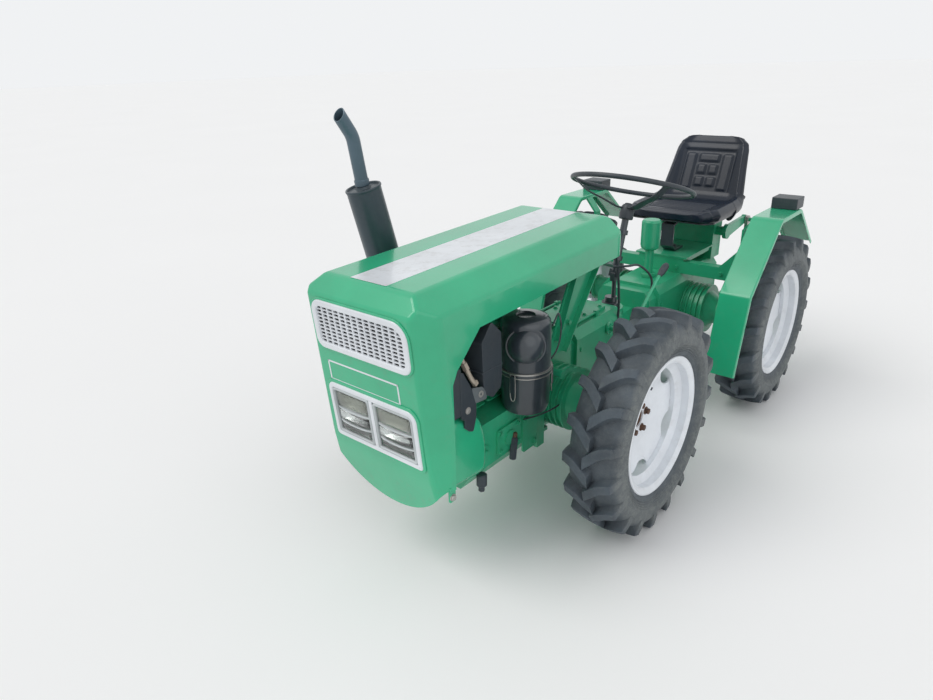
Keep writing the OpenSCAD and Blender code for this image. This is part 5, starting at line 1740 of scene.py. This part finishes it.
def make_fan_side():
    """Shroud behind the nose with its round edges, the small gussets under the hood's front
    corners, and the black strap with its bolted bracket beside the belt"""
    m = MATERIALS
    front = -HOOD_SEAM - 14
    rear = [(-470, 478), (-457, 439), (-448, 402), (-447, 363), (-452, 330), (-458, 304)]
    outline = np.array([(front, 318), (front, 512), (-560, 506), *rear])
    shroud = side_prism(outline, -SHROUD_X, SHROUD_X)
    publish("fan_shroud", shroud, [m["green"]], "front", edge=24, edge_steps=5)
    # The fan cowl takes the darkened green inside: painted shade
    soften("fan_cowl", [m["inside"]], "front", 2.0)

    outline = rounded([(-HOOD_SEAM, 735), (-472, 735), (-534, 676), (-569, 643),
                       (-HOOD_SEAM, 610)], [0, 0, 30, 20, 0], 4)
    near, far = HOOD_W / 2 - 3.4, HOOD_W / 2 - 0.4
    gussets = side_prism(outline, near, far) + side_prism(outline, -far, -near)
    publish("side_gussets", gussets, [m["green"]], "front", ("side_panels",),
            edge=0.8)

    strap = [(-557, 633), (-545, 628), (-516, 576), (-499, 530), (-501, 491), (-513, 455),
             (-529, 462), (-545, 477), (-544, 498), (-557, 509)]
    tab = [(-516, 576), (-473, 564), (-462, 546), (-457, 525), (-491, 528), (-502, 530)]
    x0, x1 = STRAP_X
    shape = side_prism(rounded(strap, 4, 3), x0, x1) + side_prism(
        rounded(tab, 4, 3), x1 - 4.6, x1 + 0.4).painted(1)
    shape += side_prism([(-590, 648), (-552, 640), (-552, 516), (-590, 516)], 150, x1 - 1)
    shape += bolt((x1, -532, 522), (1, 0, 0), across=13, height=4, material=2)
    ring = revolve([(4, 0), (9, 0), (9, 2.6), (4, 2.6)], 24, closed=True)
    shape += ring.moved((x1, -482, 548), basis((1, 0, 0))).painted(2)
    elbow = [(x0 - 44, -526, 690), (x0 - 16, -520, 640), (x0 - 6, -507, 600),
             (x0 - 4, -494, 580), (x0 - 12, -478, 572)]
    shape += pipe(elbow, 13, 5, 14, material=3)
    for at, toward in ((1, 2), (3, 4)):
        way = np.subtract(elbow[toward], elbow[at])
        shape += rod(np.array(elbow[at]), elbow[at] + way * 0.45, 19, 6, 3, 0.8)
    publish("belt_strap", shape, [m["black"], m["bracket"], m["steel"], m["brass"]], "front",
            ("belt_guard",), edge=0.6)


class TRACTOR_OT_exhaust(bpy.types.Operator):
    """Make the muffler, exhaust pipe, air cleaner, duct and the parts beside the fan"""

    bl_idname = "tractor.exhaust"
    bl_label = "Exhaust and air cleaner"

    def execute(self, context):
        make_exhaust()
        make_air_cleaner()
        make_air_duct()
        make_fan_side()
        return {"FINISHED"}


# Steering wheel


STEER_PLACE = (50.0, 567.0, 890.0)
STEER_LEAN = -18.0
STEER_R = 210.0
HUB_DROP = 92.0
SPOKE_TURNS = (-30, 90, 210)


def make_steering_wheel():
    """Thin rim, three flat tapered spokes that drop to the hub, in the wheel's tilted frame"""
    place = frame_at(STEER_PLACE, (("x", STEER_LEAN),))
    path = np.hstack([circle(STEER_R, 96), np.zeros((96, 1))])
    shape = along(path, circle(sizes().steering_rim / 2, 16), closed=True)
    for start in SPOKE_TURNS:
        line = smooth_path([(14, 0, -HUB_DROP + 14), (40, 0, -HUB_DROP + 16),
                            (90, 0, -HUB_DROP + 34), (150, 0, -38), (192, 0, -10),
                            (STEER_R - 2, 0, -1)], 5)
        flat = rounded([(-16, -2.5), (16, -2.5), (16, 2.5), (-16, 2.5)], 2.0, 3)
        share = np.linspace(0, 1, len(line))
        spoke = along(line, flat, scale=1.0 - 0.22 * share)
        shape += spoke.moved(turn=turn_about("z", start))
    hub = revolve([(0, -HUB_DROP - 24), (23, -HUB_DROP - 24), (25, -HUB_DROP - 20),
                   (25, -HUB_DROP + 4), (22, -HUB_DROP + 20), (17, -HUB_DROP + 27),
                   (0, -HUB_DROP + 28)], 40)
    cap = revolve([(0, -HUB_DROP + 27), (13, -HUB_DROP + 27), (13, -HUB_DROP + 30),
                   (10, -HUB_DROP + 32), (0, -HUB_DROP + 32.5)], 32)
    publish("steering_wheel_rim", place(shape + hub + cap), [MATERIALS["plastic"]],
            "steering_wheel", ("steering_wheel",), sharp=40)


class TRACTOR_OT_steering(bpy.types.Operator):
    """Make the steering wheel"""

    bl_idname = "tractor.steering"
    bl_label = "Steering wheel"

    def execute(self, context):
        make_steering_wheel()
        return {"FINISHED"}


# Seat and fenders


SEAT_LO, SEAT_HI = extent("seat")
FENDER_LIP = 15.0
FENDER_T = 3.2
TAIL_LAMP_W = 94.0


def emboss(x, s, panels, depth, soft):
    """Height of raised panels with soft borders: each is a product of two smooth steps"""
    out = np.zeros_like(x)
    for x0, x1, s0, s1 in panels:
        across = np.clip((x - x0) / soft, 0, 1) * np.clip((x1 - x) / soft, 0, 1)
        down = np.clip((s - s0) / soft, 0, 1) * np.clip((s1 - s) / soft, 0, 1)
        both = across * down
        out = np.maximum(out, depth * both * both * (3 - 2 * both))
    return out


def seat_shape():
    """Bucket of one moulding: a flat oval section carried from the front lip over the cushion and
    up the back. The section's half width and thickness change along the line."""
    low = SEAT_LO[2]
    spine = rounded([(SEAT_LO[1] + 8, low + 20), (SEAT_LO[1] + 250, low + 16),
                     (SEAT_LO[1] + 338, low + 20), (SEAT_HI[1] - 28, SEAT_HI[2] - 22)],
                    [0, 900, 78, 0], 18, closed=False)
    line = curve_through(spine, 140)
    step = np.gradient(line, axis=0)
    step /= np.linalg.norm(step, axis=1)[:, None]
    normal = np.stack([-step[:, 1], step[:, 0]], 1)
    gone = np.concatenate([[0], np.cumsum(np.linalg.norm(np.diff(line, axis=0), axis=1))])
    share = gone / gone[-1]
    half = np.interp(share, [0, 0.03, 0.10, 0.40, 0.52, 0.64, 0.80, 0.93, 0.975, 1.0],
                     [160, 180, 197, 199, 196, 182, 168, 158, 148, 128])
    thick = np.interp(share, [0, 0.03, 0.2, 0.45, 0.6, 0.9, 1.0], [15, 20, 21, 20, 18, 15, 10])
    bolster = np.interp(share, [0, 0.08, 0.3, 0.5, 0.62, 0.9, 1.0], [4, 10, 17, 22, 19, 12, 5])
    top = np.linspace(-1, 1, 73)
    count = len(top)
    x = half[:, None] * np.sign(top) * np.abs(top) ** 0.96
    edge = np.abs(top)[None, :]
    dome = thick[:, None] * (1 - np.clip((edge - 0.86) / 0.14, 0, 1) ** 2.4)
    rise = bolster[:, None] * np.clip((edge - 0.58) / 0.28, 0, 1) ** 2 * (
        1 - 0.45 * np.clip((edge - 0.91) / 0.09, 0, 1))
    s = np.broadcast_to(gone[:, None], x.shape)
    end = gone[-1]
    back = [(-104, -58, end - 226, end - 66), (58, 104, end - 226, end - 66),
            (-46, 46, end - 104, end - 66), (-46, -4, end - 158, end - 113),
            (4, 46, end - 158, end - 113), (-46, -4, end - 212, end - 167),
            (4, 46, end - 212, end - 167)]
    ridges = [(-122, 122, a, a + 17) for a in (66, 95, 124, 153, 182, 211)]
    sides = [(-152, -133, 56, 250), (133, 152, 56, 250)]
    raised = emboss(x, s, back + ridges + sides, 4.6, 6.0)
    hollow = emboss(x, s, [(-120, 120, end - 246, end - 46)], 6.0, 9.0)
    hollow += emboss(x, s, [(-128, 128, 52, 240)], 3.0, 9.0)
    # A rounded roll along the front and over the top, set off by a groove
    groove = 3.5 * np.exp(-((s - 30) / 5.0) ** 2) + 2.5 * np.exp(-((s - end + 24) / 5.0) ** 2)
    upper = dome + rise + raised - hollow - groove
    lower = -thick[:, None] * (1 - np.clip((edge - 0.90) / 0.10, 0, 1) ** 2.2)
    up3 = np.stack([np.zeros(len(line)), normal[:, 0], normal[:, 1]], 1)
    base = np.stack([np.zeros(len(line)), line[:, 0], line[:, 1]], 1)

    def lay(height):
        return base[:, None] + x[..., None] * [1, 0, 0] + height[..., None] * up3[:, None]

    ring = np.concatenate([lay(upper), lay(lower)[:, count - 2:0:-1]], 1)
    centre = ring.mean(1, keepdims=True)
    first, last = np.array([0, *step[0]]), np.array([0, *step[-1]])
    nose = [centre[0] + (ring[0] - centre[0]) * k - first * out
            for k, out in ((0.70, 12.0), (0.88, 9.0), (0.97, 4.5))]
    tail = [centre[-1] + (ring[-1] - centre[-1]) * k + last * out
            for k, out in ((0.97, 4.5), (0.86, 9.0), (0.64, 12.0))]
    return grid(np.concatenate([np.stack(nose), ring, np.stack(tail)]), wrap_v=True, cap_ends=True)


def make_seat():
    """Moulded seat: vinyl over foam"""
    piece = publish("seat_bucket", seat_shape(), [MATERIALS["vinyl"]], "rear",
                    ("seat",), sharp=50)


def fender_line():
    """Fender's outer line seen from its side, with round folds"""
    lo, hi = extent("fender_left")
    corners = [(WHEELBASE - 435, lo[2]), (WHEELBASE - 360, 530), (WHEELBASE - 120, hi[2]),
               (WHEELBASE + 110, hi[2]), (hi[1], 590)]
    return rounded(corners, [0, 26, 40, 40, 0], 6, closed=False)


def make_fenders():
    """Fenders of bent sheet: the sheet's section has a turned-down lip along both sides"""
    line = fender_line()
    tangent = np.gradient(line, axis=0)
    tangent /= np.linalg.norm(tangent, axis=1)[:, None]
    inward = np.stack([tangent[:, 1], -tangent[:, 0]], 1)
    lip, t = FENDER_LIP, FENDER_T
    for side, sign in (("left", 1), ("right", -1)):
        lo, hi = extent(f"fender_{side}")
        x0, x1 = (lo[0], hi[0]) if sign > 0 else (-hi[0], -lo[0])
        section = rounded([(x0, -lip), (x0, 0), (x1, 0), (x1, -lip), (x1 - t, -lip), (x1 - t, -t),
                           (x0 + t, -t), (x0 + t, -lip)], [0.8, 4.5, 4.5, 0.8, 0.8, 2, 2, 0.8], 3)
        points = np.empty((len(line), len(section), 3))
        points[..., 0] = section[None, :, 0] * sign
        points[..., 1] = line[:, None, 0] + inward[:, None, 0] * -section[None, :, 1]
        points[..., 2] = line[:, None, 1] + inward[:, None, 1] * -section[None, :, 1]
        shape = grid(points, wrap_v=True, cap_ends=True)
        publish(f"fender_{side}_folded", shape, [MATERIALS["green"]], "rear",
                (f"fender_{side}",), sharp=35)


def make_tail_lamps():
    """Tail lamps: black rubber housings with red and amber lenses that look back"""
    m = MATERIALS
    lo, hi = extent("tail_lamps")
    shape = Shape()
    y0, y1, z0, z1 = hi[1] - 6, hi[1], lo[2] + 5, hi[2] - 5
    for sign, right_lens, left_lens in ((1, 2, 1), (-1, 1, 2)):
        x0, x1 = sorted((sign * hi[0], sign * (hi[0] - TAIL_LAMP_W)))
        middle = (x0 + x1) / 2
        shape += block((x0, lo[1], lo[2]), (x1, y0, hi[2]))
        shape += block((x0 + 4, y0, z0), (middle, y1, z1), right_lens)
        shape += block((middle + 0.5, y0, z0), (x1 - 4, y1, z1), left_lens)
    publish("tail_lamps_lensed", shape, [m["plastic"], m["red"], m["amber"]], "rear",
            ("tail_lamps",), edge=3.0, edge_steps=3)


class TRACTOR_OT_seat(bpy.types.Operator):
    """Make the seat, the fenders and the tail lamps"""

    bl_idname = "tractor.seat"
    bl_label = "Seat and fenders"

    def execute(self, context):
        make_seat()
        make_fenders()
        make_tail_lamps()
        return {"FINISHED"}


# Castings, brackets and rods that keep the construction's own form, and small parts


# Node, finish and the radius of its edges
SOFTENED = (
    ("engine_block", "cast", 2.0),
    ("gearbox", "cast", 3.0),
    ("front_axle", "cast", 1.6),
    ("hood_supports", "cast", 1.0),
    ("steering_column", "black", 1.0),
    ("control_rods", "cast", 1.0),
    ("oil_hose", "hose", 0.5),
    ("pivot_block", "cast", 3.0),
    ("rear_housing", "cast", 3.0),
    ("rear_axle", "cast", 1.6),
    ("seat_frame", "cast", 1.2),
    ("seat_bracket", "black", 1.2),
    ("seat_pan", "black", 1.5),
    ("oil_filter", "cast", 2.0),
    ("drawbar", "cast", 2.0),
    ("lift_arms", "cast", 1.5),
    ("lower_links", "cast", 0.0),
    ("lift_rods", "steel", 1.2),
)


def body_of(node):
    """Moving body that a construction node belongs to"""
    return next(body for body, nodes in frame["record"]["behaviour"]["bodies"].items()
                if node in nodes)


def make_castings():
    """Softened copies of the castings and brackets"""
    for node, finish, edge in SOFTENED:
        soften(node, [MATERIALS[finish]], body_of(node), edge)


def make_gear_lever():
    """Gear lever on its cross shaft: green rod with a thick black knob"""
    m = MATERIALS
    low = extent("gear_lever")[0][0]
    foot, neck = np.array([192.0, 335.0, 446.0]), np.array([198.0, 520.0, 600.0])
    shape = rod((low, *foot[1:]), foot + [6, 0, 0], 20, 24, cham=1.5)
    shape += rod((low, *foot[1:]), (low + 10, *foot[1:]), 44, 32, cham=2)
    shape += rod(foot, neck, 12, 16)
    knob = revolve([(0, 0), (7, 0), (9, 4), (12.4, 20), (13, 38), (12, 50), (8, 58), (0, 61)], 24)
    shape += knob.moved(neck, basis((3, 52, 32))).painted(1)
    publish("gear_lever_moulded", shape, [m["green"], m["plastic"]], "front",
            ("gear_lever",), sharp=40)


def make_small_parts():
    """Hoses and cables of the front half, the fittings below the engine and the nose's bolt"""
    m = MATERIALS
    hoses = (
        (9, 12, [(104, 372, 700), (108, 384, 650), (110, 398, 560), (110, 404, 470),
                 (104, 398, 400)]),
        (8, 12, [(104, 360, 655), (150, 376, 662), (160, 440, 650), (168, 520, 590),
                 (160, 536, 520), (126, 520, 440)]),
        (5, 10, [(200, 60, 372), (188, -90, 346), (172, -170, 342), (160, -233, 350)]),
    )
    fittings = (
        ((146, -411, 252), (146, -413, 214), 30, 24, 0, 3),
        ((146, -413, 216), (146, -414, 197), 19, 6, 0, 2),
        ((160, -276, 312), (163, -291, 246), 22, 6, 0, 3),
        ((160, -273, 326), (160, -276, 310), 14, 16, 2, 2),
    )
    shape = total([pipe(points, diameter, 6, sides) for diameter, sides, points in hoses])
    shape += total([rod(*fitting) for fitting in fittings])
    shape += block((196, -604, 288), (203, -584, 330), 1)
    shape += bolt((203, -595, 301), (1, 0, 0), across=14, height=6, material=3)
    publish("small_parts", shape, [m["hose"], m["green"], m["rust"], m["steel"]], "front",
            sharp=40)


class TRACTOR_OT_castings(bpy.types.Operator):
    """Finish the castings, brackets and rods, and make the gear lever and the hoses"""

    bl_idname = "tractor.castings"
    bl_label = "Castings and brackets"

    def execute(self, context):
        make_castings()
        make_gear_lever()
        make_small_parts()
        return {"FINISHED"}


class TRACTOR_PT_panel(bpy.types.Panel):
    """Buttons and sizes of the tractor"""

    bl_label = "Tractor"
    bl_idname = "TRACTOR_PT_panel"
    bl_space_type = "VIEW_3D"
    bl_region_type = "UI"
    bl_category = "Tractor"

    def draw(self, context):
        layout = self.layout
        for made in OPERATORS:
            layout.operator(made.bl_idname)
        for group_made in (context.scene.tractor_sizes, context.scene.tractor_colours):
            for key in group_made.__annotations__:
                layout.prop(group_made, key)


OPERATORS = (
    TRACTOR_OT_studio,
    TRACTOR_OT_materials,
    TRACTOR_OT_wheels,
    TRACTOR_OT_bonnet,
    TRACTOR_OT_exhaust,
    TRACTOR_OT_steering,
    TRACTOR_OT_seat,
    TRACTOR_OT_castings,
)
CLASSES = (TractorSizes, TractorColours, *OPERATORS, TRACTOR_PT_panel)


def register():
    """Makes the classes known to Blender and gives the scene its sizes and colours"""
    for made in CLASSES:
        bpy.utils.register_class(made)
    bpy.types.Scene.tractor_sizes = bpy.props.PointerProperty(type=TractorSizes)
    bpy.types.Scene.tractor_colours = bpy.props.PointerProperty(type=TractorColours)


def unregister():
    """Takes back what register did"""
    del bpy.types.Scene.tractor_colours
    del bpy.types.Scene.tractor_sizes
    for made in reversed(CLASSES):
        bpy.utils.unregister_class(made)


def main():
    """Builds everything through the operators"""
    register()
    for made in OPERATORS:
        space, name = made.bl_idname.split(".")
        getattr(getattr(bpy.ops, space), name)()


if __name__ == "__main__":
    main()
